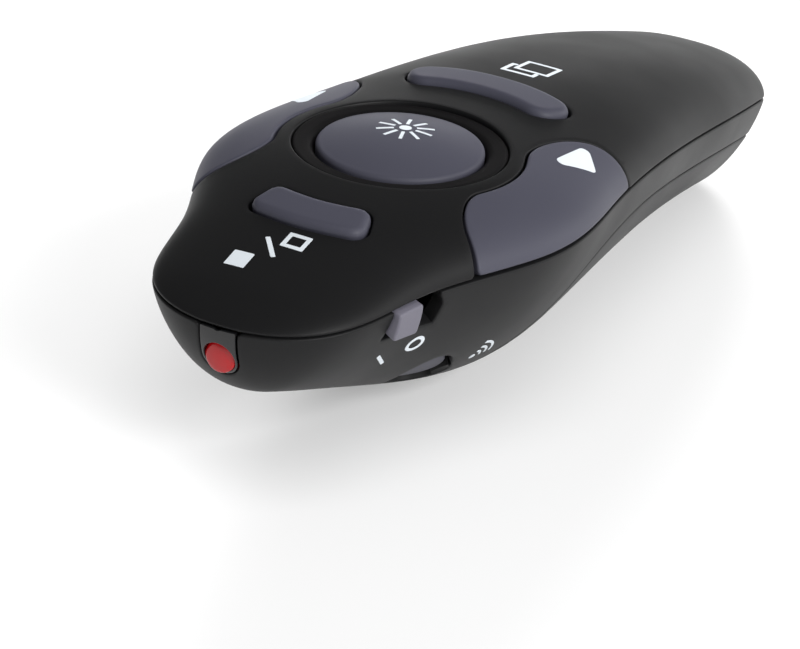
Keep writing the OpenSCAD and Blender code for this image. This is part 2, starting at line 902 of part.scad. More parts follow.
laser_board_size = [7, 7.5, 0.8];
module laser_board() {
  color(board_colour)
    translate([-laser_board_size[0] / 2, -barrel_back, laser_height - laser_board_size[2] / 2])
    cube(laser_board_size);
}

// ---- power slide and connect button ----------------------------------------------

// Height at which the flank is met, for the knob's inner end
knob_stand = 0.5;          // how far the knob stands out of the flank
plate_overlap = 1.4;       // how far its plate reaches behind the shell
knob_bottom = slot_level - slot_depth + slide_gap;
knob_top = split_z(-knob_front) - seam / 2 - slide_gap;
plate_top = slot_level - 2 * lip_height - 2 * slide_gap;
module lever_block(gap) {
  translate([slide_body_outer - 1.5 - gap, -lever_front - gap, lever_height - lever_size / 2 - gap])
    cube([2.3 + 2 * gap, lever_size + 2 * gap, lever_size + 2 * gap]);
}
module slide_knob() {
  color(knob_colour) moulded() difference() {
    union() {
      intersection() {
        difference() {
          form(knob_stand);
          form(-shell_wall - 0.9);
        }
        translate([0, -knob_front, knob_bottom]) cube([far, knob_width, knob_top - knob_bottom]);
      }
      intersection() {
        difference() {
          form(-shell_wall - slide_gap);
          form(-shell_wall - 0.9);
        }
        translate([slide_body_outer + slide_gap, -knob_front - plate_overlap, knob_bottom - plate_overlap])
          cube([far, knob_width + 2 * plate_overlap, plate_top - knob_bottom + plate_overlap]);
      }
    }
    lever_block(0.05);
    translate([0, -far, 0]) cube([slide_body_outer + slide_gap, far, far]);
  }
}

module slide_lever() {
  color("#e8e6df") lever_block(0);
}

slide_body_front = lever_front + slide_body_margin;
slide_body_length = lever_size + slide_travel + 2 * slide_body_margin;
module slide_switch() {
  color(steel_colour) difference() {
    translate([slide_body_outer - slide_body_depth, -slide_body_front, board_bottom - slide_body_height])
      cube([slide_body_depth, slide_body_length, slide_body_height]);
    translate([slide_body_outer - 1.6, -lever_front - slide_gap, lever_height - lever_size / 2 - slide_gap])
      cube([far, lever_size + slide_travel + 2 * slide_gap, lever_size + 2 * slide_gap]);
  }
}

connect_sink = 0.9;        // how far the connect button lies below the flank
module connect_button() {
  color(key_colour) moulded() union() {
    intersection() {
      form(-connect_sink);
      translate([connect_side, connect_y, 0]) cylinder(h = connect_guide_top + 0.4, r = connect_radius);
    }
    intersection() {
      form(-shell_wall - key_gap);
      translate([connect_side, connect_y, connect_guide_top + slide_gap])
        cylinder(h = rim_height, r = connect_radius + flange / 2);
    }
    translate([connect_side, connect_y, connect_guide_top])
      cylinder(h = connect_plunger_bottom - connect_guide_top, r = 1.4);
  }
}

module connect_plunger() {
  color(dark_colour) translate([connect_side, connect_y, connect_plunger_bottom])
    cylinder(h = plunger_rise + 0.75, r = plunger_radius);
}

module connect_switch() {
  color(steel_colour) translate([connect_side, connect_y, board_bottom]) mirror([0, 0, 1]) switch_body();
}

// ---- boards -------------------------------------------------------------------------

// The board follows the inside of the joining lip
function board_half(y) = half_width(y * half_length / (half_length - shell_wall - lip_wall)) - board_inset;
module main_board() {
  edge = [for (y = [-board_front + board_corner:3.5:board_rear]) [board_half(y), y]];
  outline = concat(
    [[board_half(-board_front) - board_corner, -board_front]], edge, [[board_half(board_rear), board_rear]]
  );
  color(board_colour) translate([0, 0, board_bottom]) difference() {
    linear_extrude(board_thickness) polygon(concat(
      outline,
      [for (i = [len(outline)-1:-1:0]) [-outline[i][0], outline[i][1]]]
    ));
    for (p = screw_places)
      translate([p[0], p[1], -1]) cylinder(h = 3, r = shell_screw_radius + slide_gap);
    for (p = board_screw_places)
      translate([p[0], p[1], -1]) cylinder(h = 3, r = board_screw_radius + slide_gap);
  }
}

module radio_chip() {
  color("#202225") translate([-9, -9.5, board_top]) cube([5, 5, 0.9]);
}

module crystal() {
  color(steel_colour) translate([4.2, -9, board_top]) {
    cube([3.2, 2.5, 0.8]);
  }
}

// ---- battery bay ----------------------------------------------------------------------

module along_y(x, y, z, length, radius) {
  translate([x, y, z]) rotate([-90, 0, 0]) cylinder(h = length, r = radius);
}

tray_side = cell_x + 4.7;
tray_bottom = cell_height + 0.4;
contact_side = 7.4;
module battery_tray() {
  color(dark_colour) difference() {
    union() {
      // two arches over the cells, and the plates behind the contacts
      intersection() {
        union()
          for (x = [-cell_x, cell_x])
            along_y(x, -bay_front - tray_plate, cell_height, bay_length + 2 * tray_plate, tray_radius);
        translate([-tray_side, -far, tray_bottom]) cube([2 * tray_side, 2 * far, far]);
      }
      for (y = [-bay_front - tray_plate, bay_rear])
        translate([-cell_x - contact_side / 2, y, cell_height - contact_side / 2])
          cube([2 * cell_x + contact_side, tray_plate, contact_side / 2 + 1]);
      for (p = screw_places)
        translate([min(p[0], sign(p[0]) * cell_x), p[1] - pad_radius, pad_top])
          cube([abs(p[0]) - cell_x, 2 * pad_radius, board_bottom - pad_top]);
      for (p = screw_places)
        translate([p[0], p[1], pad_top]) cylinder(h = board_bottom - pad_top, r = pad_radius - 0.4);
    }
    for (x = [-cell_x, cell_x]) along_y(x, -bay_front, cell_height, bay_length, tray_bore);
    for (p = screw_places)
      translate([p[0], p[1], pad_top - 1]) cylinder(h = 9, r = shell_screw_radius + slide_gap);
  }
}

module contact(x, y) {
  translate([x - contact_side / 2, y, cell_height - contact_side / 2])
    cube([contact_side, contact_thickness, contact_side]);
}
module battery_contacts() {
  color(steel_colour) {
    contact(-cell_x, -bay_front);
    contact(cell_x, -bay_front);
    contact(-cell_x, bay_rear - contact_thickness);
    contact(cell_x, bay_rear - contact_thickness);
    translate([-cell_x, bay_rear - contact_thickness, cell_height - 1])
      cube([2 * cell_x, contact_thickness, 2]);
  }
}

// One spring: a wire wound as a cone, from the contact to the cell
spring_turns = 4;
spring_wire = 0.25;        // radius of the wire
spring_steps = 10;         // rings of the wire in one turn
spring_sides = 6;
spring_radii = [3.2, 1.8]; // at the contact and at the cell
module spring(reach) {
  rings = spring_turns * spring_steps;
  rise = reach - 2 * spring_wire;
  function on_wire(i, k) =
    let (
      t = i / rings,
      a = 360 * i / spring_steps,
      r = spring_radii[0] + (spring_radii[1] - spring_radii[0]) * t,
      b = 360 * k / spring_sides
    )
    [
      (r + spring_wire * cos(b)) * cos(a),
      (r + spring_wire * cos(b)) * sin(a),
      spring_wire + rise * t + spring_wire * sin(b)
    ];
  n = spring_sides;
  polyhedron(
    points = [for (i = [0:rings], k = [0:n-1]) on_wire(i, k)],
    faces = concat(
      [[for (k = [n-1:-1:0]) k]],
      [[for (k = [0:n-1]) rings * n + k]],
      [for (i = [0:rings-1], k = [0:n-1])
        let (a = i * n + k, b = i * n + (k + 1) % n)
        each [[a, b, a + n], [b, b + n, a + n]]
      ]
    ),
    convexity = 8
  );
}
module battery_springs() {
  color(steel_colour) {
    translate([-cell_x, bay_rear - contact_thickness, cell_height]) rotate([90, 0, 0]) spring(spring_length);
    translate([cell_x, contact_thickness - bay_front, cell_height]) rotate([-90, 0, 0]) spring(spring_length);
  }
}

nub_radius = 2.2;
nub_length = 1.1;
module cell() {
  along_y(0, nub_length, 0, cell_length - nub_length, cell_radius);
  along_y(0, 0, 0, nub_length + overlap, nub_radius);
}
module left_cell() {
  color("#c7a24a") translate([-cell_x, contact_thickness - bay_front, cell_height]) cell();
}
module right_cell() {
  color("#c7a24a") translate([cell_x, bay_rear - contact_thickness, cell_height]) mirror([0, 1, 0]) cell();
}

// ---- screws ---------------------------------------------------------------------------------

module screw(shaft_radius, length) {
  translate([0, 0, -head_height]) difference() {
    cylinder(h = head_height, r = head_radius);
    for (turn = [0, 90]) rotate([0, 0, turn]) translate([-1, -0.2, -overlap]) cube([2, 0.4, 0.5]);
  }
  translate([0, 0, -overlap]) cylinder(h = length, r = shaft_radius);
}
module shell_screws() {
  color(steel_colour) {
    for (p = screw_places)
      translate([p[0], p[1], screw_start]) screw(shell_screw_radius, shell_screw_length);
    for (p = tail_screw_places)
      translate([p[0], p[1], tail_screw_start]) screw(shell_screw_radius, shell_screw_length);
  }
}
module board_screws() {
  color(steel_colour) for (p = board_screw_places)
    translate([p[0], p[1], board_bottom]) screw(board_screw_radius, board_screw_length);
}

// ---- receiver -----------------------------------------------------------------------------------

module receiver_cap() {
  color(dark_colour) moulded() intersection() {
    form();
    at_receiver() translate([-cap_width / 2, plug_far, -cap_thickness / 2])
      cube([cap_width, far, cap_thickness]);
  }
}

plug_sheet = 0.3;
module receiver_plug() {
  color(steel_colour) at_receiver() difference() {
    translate([-plug_width / 2, plug_near, -plug_thickness / 2])
      cube([plug_width, plug_length, plug_thickness]);
    translate([-plug_width / 2 + plug_sheet, plug_near - 1, -plug_thickness / 2 + plug_sheet])
      cube([plug_width - 2 * plug_sheet, plug_length + 2, plug_thickness - 2 * plug_sheet]);
  }
}

module receiver_tongue() {
  color("#f2f2f0") at_receiver()
    translate([-plug_width / 2 + plug_sheet, plug_near + 0.6, plug_thickness / 2 - plug_sheet - 1.9])
    cube([plug_width - 2 * plug_sheet, plug_length - 0.6, 1.9]);
}

top_shell();
bottom_shell();
battery_door();
button_ring();
laser_button();
laser_plunger();
screen_key();
screen_plunger();
window_key();
window_plunger();
left_page_key();
left_plunger();
right_page_key();
right_plunger();
key_switches();
nose_insert();
laser_lens();
laser_barrel();
laser_board();
slide_knob();
slide_lever();
slide_switch();
connect_button();
connect_plunger();
connect_switch();
main_board();
radio_chip();
crystal();
battery_tray();
battery_contacts();
battery_springs();
left_cell();
right_cell();
shell_screws();
board_screws();
receiver_cap();
receiver_plug();
receiver_tongue();
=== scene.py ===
# %% [markdown]
# # A wireless presenter, dressed over its fixed frame
# The frame is the imported model: every part at its true size and place. This
# file gives each part its finish, and replaces the faceted outer mouldings by
# finely shaped ones. The first step loads the frame.

# %% Load the frame
import math

import bmesh
import bpy
import numpy as np
from mathutils import Matrix, Vector
from mathutils.geometry import delaunay_2d_cdt


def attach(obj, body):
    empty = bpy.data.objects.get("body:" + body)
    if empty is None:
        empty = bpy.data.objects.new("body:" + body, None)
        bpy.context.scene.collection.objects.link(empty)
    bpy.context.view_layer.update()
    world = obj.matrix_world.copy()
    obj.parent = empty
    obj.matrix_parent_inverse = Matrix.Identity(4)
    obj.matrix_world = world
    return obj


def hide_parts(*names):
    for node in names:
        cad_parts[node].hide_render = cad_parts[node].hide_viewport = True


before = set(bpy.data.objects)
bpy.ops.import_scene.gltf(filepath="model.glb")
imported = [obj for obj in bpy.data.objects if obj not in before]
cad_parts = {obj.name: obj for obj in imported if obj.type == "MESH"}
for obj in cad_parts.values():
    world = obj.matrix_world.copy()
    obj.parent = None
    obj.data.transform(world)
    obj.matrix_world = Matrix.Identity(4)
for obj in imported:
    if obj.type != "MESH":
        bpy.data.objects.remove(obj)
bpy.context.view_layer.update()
print("parts in the frame:", len(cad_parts))

# %% [markdown]
# ## Camera
# A product photograph is taken with a long lens from some distance, which
# keeps the sides of the object almost parallel. The camera looks at a point
# 12 mm above the desk, from the right of the nose and from above. All sizes
# in this file are millimetres until a mesh is made; one factor turns them
# into Blender's metres.

# %% The camera
MM = 0.001
PICTURE_WIDTH, FOCAL_PIXELS, SENSOR = 800, 4501.406, 36
AIM = np.array([0, 0, 12])
TO_THE_RIGHT, UPWARDS, DISTANCE = -8.915, -12.217, 461.172

az, el, roll = (math.radians(a) for a in (26.545, 23.773, 4.986))
back = np.array([math.sin(az) * math.cos(el), -math.cos(az) * math.cos(el), math.sin(el)])
level = np.array([math.cos(az), math.sin(az), 0.0])
upward = np.cross(back, level)
right = math.cos(roll) * level + math.sin(roll) * upward
above = math.cos(roll) * upward - math.sin(roll) * level
eye = AIM + TO_THE_RIGHT * right + UPWARDS * above + DISTANCE * back

camera_data = bpy.data.cameras.new("camera")
camera_data.sensor_fit = "HORIZONTAL"
camera_data.sensor_width = SENSOR
camera_data.lens = FOCAL_PIXELS * SENSOR / PICTURE_WIDTH
camera_data.clip_start, camera_data.clip_end = 0.01, 20
camera = bpy.data.objects.new("camera", camera_data)
rows = [[right[i], above[i], back[i], eye[i] * MM] for i in range(3)]
camera.matrix_world = Matrix(rows + [[0, 0, 0, 1]])
bpy.context.collection.objects.link(camera)
bpy.context.scene.camera = camera
print("lens", round(camera_data.lens, 1), "mm, from", np.round(eye).tolist())

# %% [markdown]
# ## Form of the body
# The body is a pebble made by rule, not by hand: its half width, the height
# of the parting line, the crown above it and the depth below it each follow a
# smooth curve through a few stations. Such a curve is a natural cubic
# spline. Both ends are rounded by a factor that falls to nothing at the
# tip. With the form as a formula, every moulding can be cut from the same
# surface and all of them fit.

# %% Curves along the body
HALF = 55.0
WIDTHS = ([0, 0.13, 0.27, 0.42, 0.6, 0.8, 1], [14.2, 13.1, 19.1, 18.3, 15.6, 12.6, 8.1])
SHARES = [0, 0.2, 0.4, 0.65, 1]
SPLITS = (SHARES, [17.6, 19.5, 20, 17.8, 10.2])
CROWNS = (SHARES, [1, 5.2, 5.7, 6.1, 4.3])
DEPTHS = (SHARES, [6.3, 15.3, 20.2, 16.2, 11.9])


def curve_bends(stations, values):
    s, v = np.array(stations, float), np.array(values, float)
    rows, pull = np.eye(len(s)), np.zeros(len(s))
    for i in range(1, len(s) - 1):
        before, after = s[i] - s[i - 1], s[i + 1] - s[i]
        rows[i, i - 1:i + 2] = before, 2 * (before + after), after
        pull[i] = 6 * ((v[i + 1] - v[i]) / after - (v[i] - v[i - 1]) / before)
    return s, v, np.linalg.solve(rows, pull)


def curve_at(curve, y):
    s, v, m = curve
    t = np.clip((np.asarray(y, float) + HALF) / (2 * HALF), 0, 1)
    i = np.clip(np.searchsorted(s, t) - 1, 0, len(s) - 2)
    h = s[i + 1] - s[i]
    a = (s[i + 1] - t) / h
    b = 1 - a
    return a * v[i] + b * v[i + 1] + ((a**3 - a) * m[i] + (b**3 - b) * m[i + 1]) * h * h / 6


def ends(y, nose, tail):
    def share(d, length):
        return np.sqrt(np.maximum(0, 1 - np.maximum(0, 1 - d / length) ** 2.3))
    return share(HALF + y, nose) * share(HALF - y, tail)


width_curve, split_curve = curve_bends(*WIDTHS), curve_bends(*SPLITS)
crown_curve, depth_curve = curve_bends(*CROWNS), curve_bends(*DEPTHS)


def half_width(y):
    return curve_at(width_curve, y) * ends(y, 15.6, 8.3)


def split_z(y):
    return curve_at(split_curve, y)


def crown(y):
    return curve_at(crown_curve, y) * ends(y, 5.8, 10.9)


def depth(y):
    return curve_at(depth_curve, y) * ends(y, 5.8, 10.9)


print("half width at the shoulders", round(float(half_width(-25.3)), 2), "mm")

# %% [markdown]
# ## One half of the body's surface
# The plan of the body is a poor grid for its surface, because the flanks
# stand almost upright. A skin therefore has its own two coordinates: one
# runs across, from one edge to the other, and one along, closing up towards
# both tips. Both are spaced as on a globe, so that the grid stays even where
# the surface turns down. The skin gives a point and its outward normal, and
# finds the coordinates of a point of the plan.

# %% The skin
ACROSS, ALONG = 23.0, 172.0


class Skin:
    def __init__(self, side, edge):
        self.side, self.edge = side, edge
        self.size = crown if side > 0 else depth
        self.powers = (2.5, 1.9) if side > 0 else (2.1, 1.3)
        y = np.linspace(-HALF, HALF, 200001)
        inside = y[self.size(y) > edge * 1.001 + 1e-6]
        self.middle = (inside[0] + inside[-1]) / 2
        self.reach = (inside[-1] - inside[0]) / 2
        self.ends = (0.004, 0.996)

    def widest(self, y):
        p0, p1 = self.powers
        low = np.minimum(1, self.edge / np.maximum(self.size(y), 1e-9))
        return half_width(y) * (1 - low**p1) ** (1 / p0)

    def height(self, x, y):
        p0, p1 = self.powers
        r = np.minimum(1, np.abs(x) / np.maximum(half_width(y), 1e-9))
        z = split_z(y) + self.side * self.size(y) * (1 - r**p0) ** (1 / p1)
        return np.maximum(z, 0)

    def coordinates(self, plan):
        plan = np.asarray(plan, float)
        v = np.arccos(np.clip((self.middle - plan[:, 1]) / self.reach, -1, 1)) / math.pi
        v = np.clip(v, *self.ends)
        w = self.widest(self.middle - self.reach * np.cos(math.pi * v))
        s = np.arcsin(np.clip(plan[:, 0] / w, -1, 1)) * 2 / math.pi
        return np.stack([s * ACROSS, v * ALONG], 1)

    def place(self, where):
        s, v = where[:, 0] / ACROSS, where[:, 1] / ALONG
        y = self.middle - self.reach * np.cos(math.pi * v)
        x = self.widest(y) * np.sin(math.pi / 2 * s)
        return np.stack([x, y, self.height(x, y)], 1), self.normal(x, y)

    def normal(self, x, y):
        p0, p1 = self.powers
        w, size, d = half_width(y), self.size(y), 0.002
        r = np.minimum(np.abs(x) / w, 1 - 1e-9)
        full = (1 - r**p0) ** (1 / p1)
        slope = -p0 / p1 * r ** (p0 - 1) * (1 - r**p0) ** (1 / p1 - 1)
        w_y = (half_width(y + d) - half_width(y - d)) / (2 * d)
        size_y = (self.size(y + d) - self.size(y - d)) / (2 * d)
        split_y = (split_z(y + d) - split_z(y - d)) / (2 * d)
        h_x = self.side * size * slope / w * np.sign(x)
        h_y = split_y + self.side * (size_y * full - size * slope * r * w_y / w)
        n = self.side * np.stack([-h_x, -h_y, np.ones_like(h_x)], 1)
        n /= np.linalg.norm(n, axis=1, keepdims=True)
        if self.side < 0:
            on_desk = split_z(y) - size * full <= 0
            n[on_desk] = (0, 0, -1)
        return n


SEAM, ROUND = 0.3, 0.18
top_skin = Skin(1, SEAM / 2 + ROUND)
bottom_skin = Skin(-1, SEAM / 2 + ROUND)
print("crown at the button", np.round(top_skin.height(0, -20.8), 2), "mm above the desk")

# %% [markdown]
# ## Outlines
# A moulding is a piece of a skin inside one outline and outside others, seen
# in plan. These helpers work on closed outlines that run anticlockwise. Two
# outlines that cross twice are joined into their overlap, or one takes a bite
# out of the other.

# %% Helpers for outlines
BATCH = 2000  # points compared at a time, which spares memory


def points_of(x, y):
    """Points of the plan from their x and y; either can be one number for all."""
    return np.stack(np.broadcast_arrays(x, y), 1)


def inside(points, outline):
    x, y = points[:, 0][:, None], points[:, 1][:, None]
    x0, y0 = outline[:, 0], outline[:, 1]
    x1, y1 = np.roll(x0, -1), np.roll(y0, -1)
    hit = np.zeros(len(points), bool)
    for start in range(0, len(points), BATCH):
        part = slice(start, start + BATCH)
        spans = (y0 > y[part]) != (y1 > y[part])
        with np.errstate(divide="ignore", invalid="ignore"):
            crossing = x0 + (y[part] - y0) / (y1 - y0) * (x1 - x0)
        hit[part] = (spans & (x[part] < crossing)).sum(1) % 2 == 1
    return hit


def stretch_of(points, wanted):
    first = [i for i in range(len(points)) if wanted[i] and not wanted[i - 1]]
    if not first:
        return points
    runs = []
    for i in first:
        run = []
        while wanted[i % len(points)] and len(run) < len(points):
            run.append(points[i % len(points)])
            i += 1
        runs.append(run)
    return np.array(max(runs, key=len))


def overlap_of(a, b):
    return np.concatenate([stretch_of(b, inside(b, a)), stretch_of(a, inside(a, b))])


def bitten(a, b):
    return np.concatenate([stretch_of(a, ~inside(a, b)), stretch_of(b, inside(b, a))[::-1]])


def line(a, b, step=0.05):
    n = max(2, int(math.dist(a, b) / step))
    t = np.linspace(0, 1, n, endpoint=False)[:, None]
    return np.asarray(a, float) * (1 - t) + np.asarray(b, float) * t


def polygon(corners, step=0.05):
    return np.concatenate([line(a, b, step) for a, b in zip(corners, [*corners[1:], corners[0]])])


def circle(x, y, radius, count=400):
    a = np.linspace(0, 2 * math.pi, count, endpoint=False)
    return points_of(x + radius * np.cos(a), y + radius * np.sin(a))


def bend_of(x, y, radius, start, end, steps=6):
    """Points of a rounded corner about (x, y), by angles in degrees."""
    return [(x + radius * math.cos(math.radians(a)), y + radius * math.sin(math.radians(a)))
            for a in np.linspace(start, end, steps)]


def edge_of(skin):
    v = np.linspace(*skin.ends, 6000)
    y = skin.middle - skin.reach * np.cos(math.pi * v)
    x = skin.widest(y)
    tip = np.linspace(-1, 1, 60)[1:-1]
    return np.concatenate([points_of(x, y), points_of(-tip * x[-1], y[-1]),
                           points_of(-x, y)[::-1], points_of(tip * x[0], y[0])])


parting = edge_of(top_skin)
print("points along the parting line:", len(parting))

# %% [markdown]
# ## A moulding from a skin
# A real moulding has softly rounded edges, a wall and a hidden inner face.
# The helper first spaces an outline evenly and rounds its corners a little,
# then fills it with triangles by a constrained Delaunay triangulation, which
# keeps the outline's edges. From each outline it lets a few rows roll over
# the edge and down the wall, and closes the piece with an inner face. A
# subdivided box or a boolean could give the same shell, but neither keeps its
# points exactly on the surface, and on a dark satin plastic the reflections
# would show it.

# %% Spacing an outline, and the moulding itself


def spaced(skin, plan, corner, step):
    where = skin.coordinates(plan)
    for pitch, soften in ((0.05, corner), (step, 0)):
        spots = skin.place(where)[0]
        length = np.linalg.norm(np.roll(spots, -1, 0) - spots, axis=1)
        total = np.concatenate([[0], np.cumsum(length)])
        count = max(8, int(round(total[-1] / pitch)))
        at = np.linspace(0, total[-1], count, endpoint=False)
        closed = np.concatenate([where, where[:1]])
        where = np.stack([np.interp(at, total, closed[:, k]) for k in (0, 1)], 1)
        if soften:
            reach = int(3 * soften / pitch) + 1
            weights = np.exp(-0.5 * (np.arange(-reach, reach + 1) * pitch / soften) ** 2)
            weights /= weights.sum()
            wrapped = np.concatenate([where[-reach:], where, where[:reach]])
            where = np.stack([np.convolve(wrapped[:, k], weights, "valid") for k in (0, 1)], 1)
    return where


def within(points, loops):
    """Inside the first outline and outside the others."""
    kept = inside(points, loops[0])
    for hole in loops[1:]:
        kept &= ~inside(points, hole)
    return kept


def filled(loops, spacing):
    low, high = loops[0].min(0), loops[0].max(0)
    edge = np.concatenate(loops)
    inner = []
    for loop in loops:
        across = np.roll(loop, -1, 0) - np.roll(loop, 1, 0)
        across = np.stack([-across[:, 1], across[:, 0]], 1)
        across /= np.maximum(np.linalg.norm(across, axis=1, keepdims=True), 1e-9)
        way = 1 if loop is loops[0] else -1
        inner.append(loop[::2] + across[::2] * 0.5 * spacing * way)
    gx, gy = (np.arange(low[k] + spacing / 2, high[k], spacing) for k in (0, 1))
    grid = np.stack(np.meshgrid(gx, gy), -1).reshape(-1, 2)
    spots = np.concatenate(inner + [grid])
    spots = spots[within(spots, loops)]
    near = np.full(len(spots), 1e9)
    for start in range(0, len(spots), BATCH):
        apart = spots[start:start + BATCH, None] - edge[None]
        near[start:start + BATCH] = np.sqrt((apart ** 2).sum(2).min(1))
    spots = spots[near > 0.42 * spacing]
    points = np.concatenate([edge, spots])
    links, start = [], 0
    for loop in loops:
        n = len(loop)
        links += [(start + i, start + (i + 1) % n) for i in range(n)]
        start += n
    out = delaunay_2d_cdt([Vector(p) for p in points], links, [], 0, 1e-7)
    found, faces, source = np.array([tuple(p) for p in out[0]]), np.array(out[2]), out[3]
    keep = within(found[faces].mean(1), loops)
    back_to = np.array([ids[0] if ids else -1 for ids in source])
    faces = back_to[faces[keep]]
    return points, faces[(faces >= 0).all(1)]


def from_arrays(name, points, faces, sharp=40):
    mesh = bpy.data.meshes.new(name)
    mesh.from_pydata([tuple(p) for p in np.asarray(points) * MM], [], faces)
    piece = bpy.data.objects.new(name, mesh)
    bpy.context.collection.objects.link(piece)
    tidy = bmesh.new()
    tidy.from_mesh(mesh)
    bmesh.ops.remove_doubles(tidy, verts=tidy.verts, dist=1e-7)
    bmesh.ops.recalc_face_normals(tidy, faces=tidy.faces)
    open_edges = sum(not e.is_manifold for e in tidy.edges)
    tidy.to_mesh(mesh)
    tidy.free()
    mesh.shade_smooth()
    mesh.set_sharp_from_angle(angle=math.radians(sharp))
    print(name, len(mesh.polygons), "faces", "open edges: %d" % open_edges if open_edges else "")
    return piece


def strip(a, b):
    """Four-sided faces between two closed rows of points, given by their numbers."""
    return np.stack([a, b, np.roll(b, -1), np.roll(a, -1)], 1).tolist()


def moulding(name, skin, outline, holes=(), raised=0.0, rolled=(ROUND, ROUND), wall=1.6,
             corner=0.12, step=0.4, spacing=1.0, rows=3):
    loops = [spaced(skin, plan, corner, step) for plan in (outline, *holes)]
    where, faces = filled(loops, spacing)
    points, normals = skin.place(where)
    room = np.minimum(wall, 0.75 * skin.size(points[:, 1]))
    points = points + normals * raised
    if skin.side < 0:
        faces = faces[:, ::-1]
    wide, deep = rolled
    angles = [math.radians(90 * (j + 1) / rows) for j in range(rows)]
    parts, solid = [points], []
    start, total = 0, len(points)
    inner = total + (rows + 1) * sum(len(loop) for loop in loops)
    for k, loop in enumerate(loops):
        n = len(loop)
        here = slice(start, start + n)
        at, up = points[here], normals[here]
        along = np.roll(at, -1, 0) - np.roll(at, 1, 0)
        out = np.cross(along, up) * skin.side * (1 if k == 0 else -1)
        out /= np.linalg.norm(out, axis=1, keepdims=True)
        made = [at + out * wide * math.sin(a) - up * deep * (1 - math.cos(a)) for a in angles]
        made.append(at + out * wide - up * np.maximum(room[here], deep + 0.02)[:, None])
        row = np.arange(start, start + n)
        for ring in made:
            new = np.arange(total, total + n)
            parts.append(ring)
            solid += strip(row, new)
            row, total = new, total + n
        solid += strip(row, np.arange(inner + start, inner + start + n))
        start += n
    parts.append(points - normals * room[:, None])
    solid += faces.tolist() + (faces[:, ::-1] + inner).tolist()
    return from_arrays(name, np.concatenate(parts), solid)


def dress(piece, material, node, body):
    """Gives a piece its material and its place in the frame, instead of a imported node."""
    piece.data.materials.append(material)
    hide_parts(node)
    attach(piece, body)


print("helpers ready")

# %% [markdown]
# ## Materials
# Every finish starts from the real one. Each is a small tree of nodes: a
# pattern on Object coordinates, so that it stays on its piece, drives a
# little colour, roughness and bump. One helper adds a node with its settings
# and links, and one function turns a colour written as hex into the linear
# values that Blender calculates with. Moulded plastics share a recipe, as
# they share a process: a spark-eroded mould gives the surface its fine grain.

# %% Helpers and the moulded plastics


def linear(colour):
    parts = [int(colour[i:i + 2], 16) / 255 for i in (1, 3, 5)]
    return [c / 12.92 if c <= 0.04045 else ((c + 0.055) / 1.055) ** 2.4 for c in parts] + [1.0]


def add(tree, kind, settings={}, links={}):
    node = tree.nodes.new(kind)
    for name, value in settings.items():
        if isinstance(name, int) or name in node.inputs:
            node.inputs[name].default_value = value
        else:
            setattr(node, name, value)
    for name, source in links.items():
        tree.links.new(source, node.inputs[name])
    return node


def new_material(name):
    material = bpy.data.materials.new(name)
    material.use_nodes = True
    material.node_tree.nodes.clear()
    return material, material.node_tree


def close(tree, shader):
    add(tree, "ShaderNodeOutputMaterial", {}, {"Surface": shader.outputs[0]})


def shaded(tree, settings, links={}):
    """Ends a material's tree with one Principled shader."""
    close(tree, add(tree, "ShaderNodeBsdfPrincipled", settings, links))


def moulded_plastic(name, dark, light, rough, grain, depth_of_grain, shine=0.5, coat=0.0):
    """Grain size and depth in mm. The two colours are the ends of faint, wide clouds."""
    material, tree = new_material(name)
    spot = add(tree, "ShaderNodeTexCoord")
    clouds = add(tree, "ShaderNodeTexNoise", {"Scale": 1000 / 18, "Detail": 3.0, "Roughness": 0.55},
                 {"Vector": spot.outputs["Object"]})
    fine = add(tree, "ShaderNodeTexNoise", {"Scale": 1000 / grain, "Detail": 2.0, "Roughness": 0.6},
               {"Vector": spot.outputs["Object"]})
    tint = add(tree, "ShaderNodeMix", {"data_type": "RGBA", 6: linear(dark), 7: linear(light)},
               {0: clouds.outputs["Fac"]})
    rub = add(tree, "ShaderNodeMapRange",
              {"From Min": 0.3, "From Max": 0.7, "To Min": rough - 0.05, "To Max": rough + 0.05},
              {"Value": clouds.outputs["Fac"]})
    relief = add(tree, "ShaderNodeBump", {"Strength": 0.35, "Distance": depth_of_grain * MM},
                 {"Height": fine.outputs["Fac"]})
    shaded(tree, {"IOR": 1.5, "Specular IOR Level": shine, "Coat Weight": coat,
                  "Coat Roughness": 0.25},
           {"Base Color": tint.outputs[2], "Roughness": rub.outputs["Result"],
            "Normal": relief.outputs["Normal"]})
    return material


# ABS with a sprayed soft-touch paint: a velvety black with wide, weak highlights
soft_black = moulded_plastic("soft_touch_paint_on_abs", "#0f0f10", "#131314", 0.5, 0.22, 0.02, 0.24)
# ABS coloured slate in the mass, with a fine spark-eroded grain
key_slate = moulded_plastic("slate_abs_keys", "#40404b", "#464651", 0.5, 0.2, 0.015, 0.25)
# Thermoplastic rubber: warmer and duller than the shell around it
ring_rubber = moulded_plastic("soft_rubber_ring", "#0d0c0d", "#111011", 0.6, 0.25, 0.02, 0.12)
# Black ABS from a mirror-polished mould
polished_black = moulded_plastic("polished_black_abs", "#0c0c0d", "#121214", 0.16, 0.6, 0.002, 0.5)
# Natural-grey acetal, which slides well
knob_acetal = moulded_plastic("grey_acetal_knob", "#5d5b66", "#676570", 0.42, 0.25, 0.012, 0.4)
# The same black ABS, left plain inside and on the receiver
plain_black = moulded_plastic("plain_black_abs", "#101011", "#151516", 0.48, 0.3, 0.01, 0.28)
# Pad-printed ink: flat, thin and a little cool
print_ink = moulded_plastic("pad_printed_ink", "#cfd6dc", "#d9dfe4", 0.5, 0.15, 0.004, 0.4)
print("plastics:", len(bpy.data.materials))

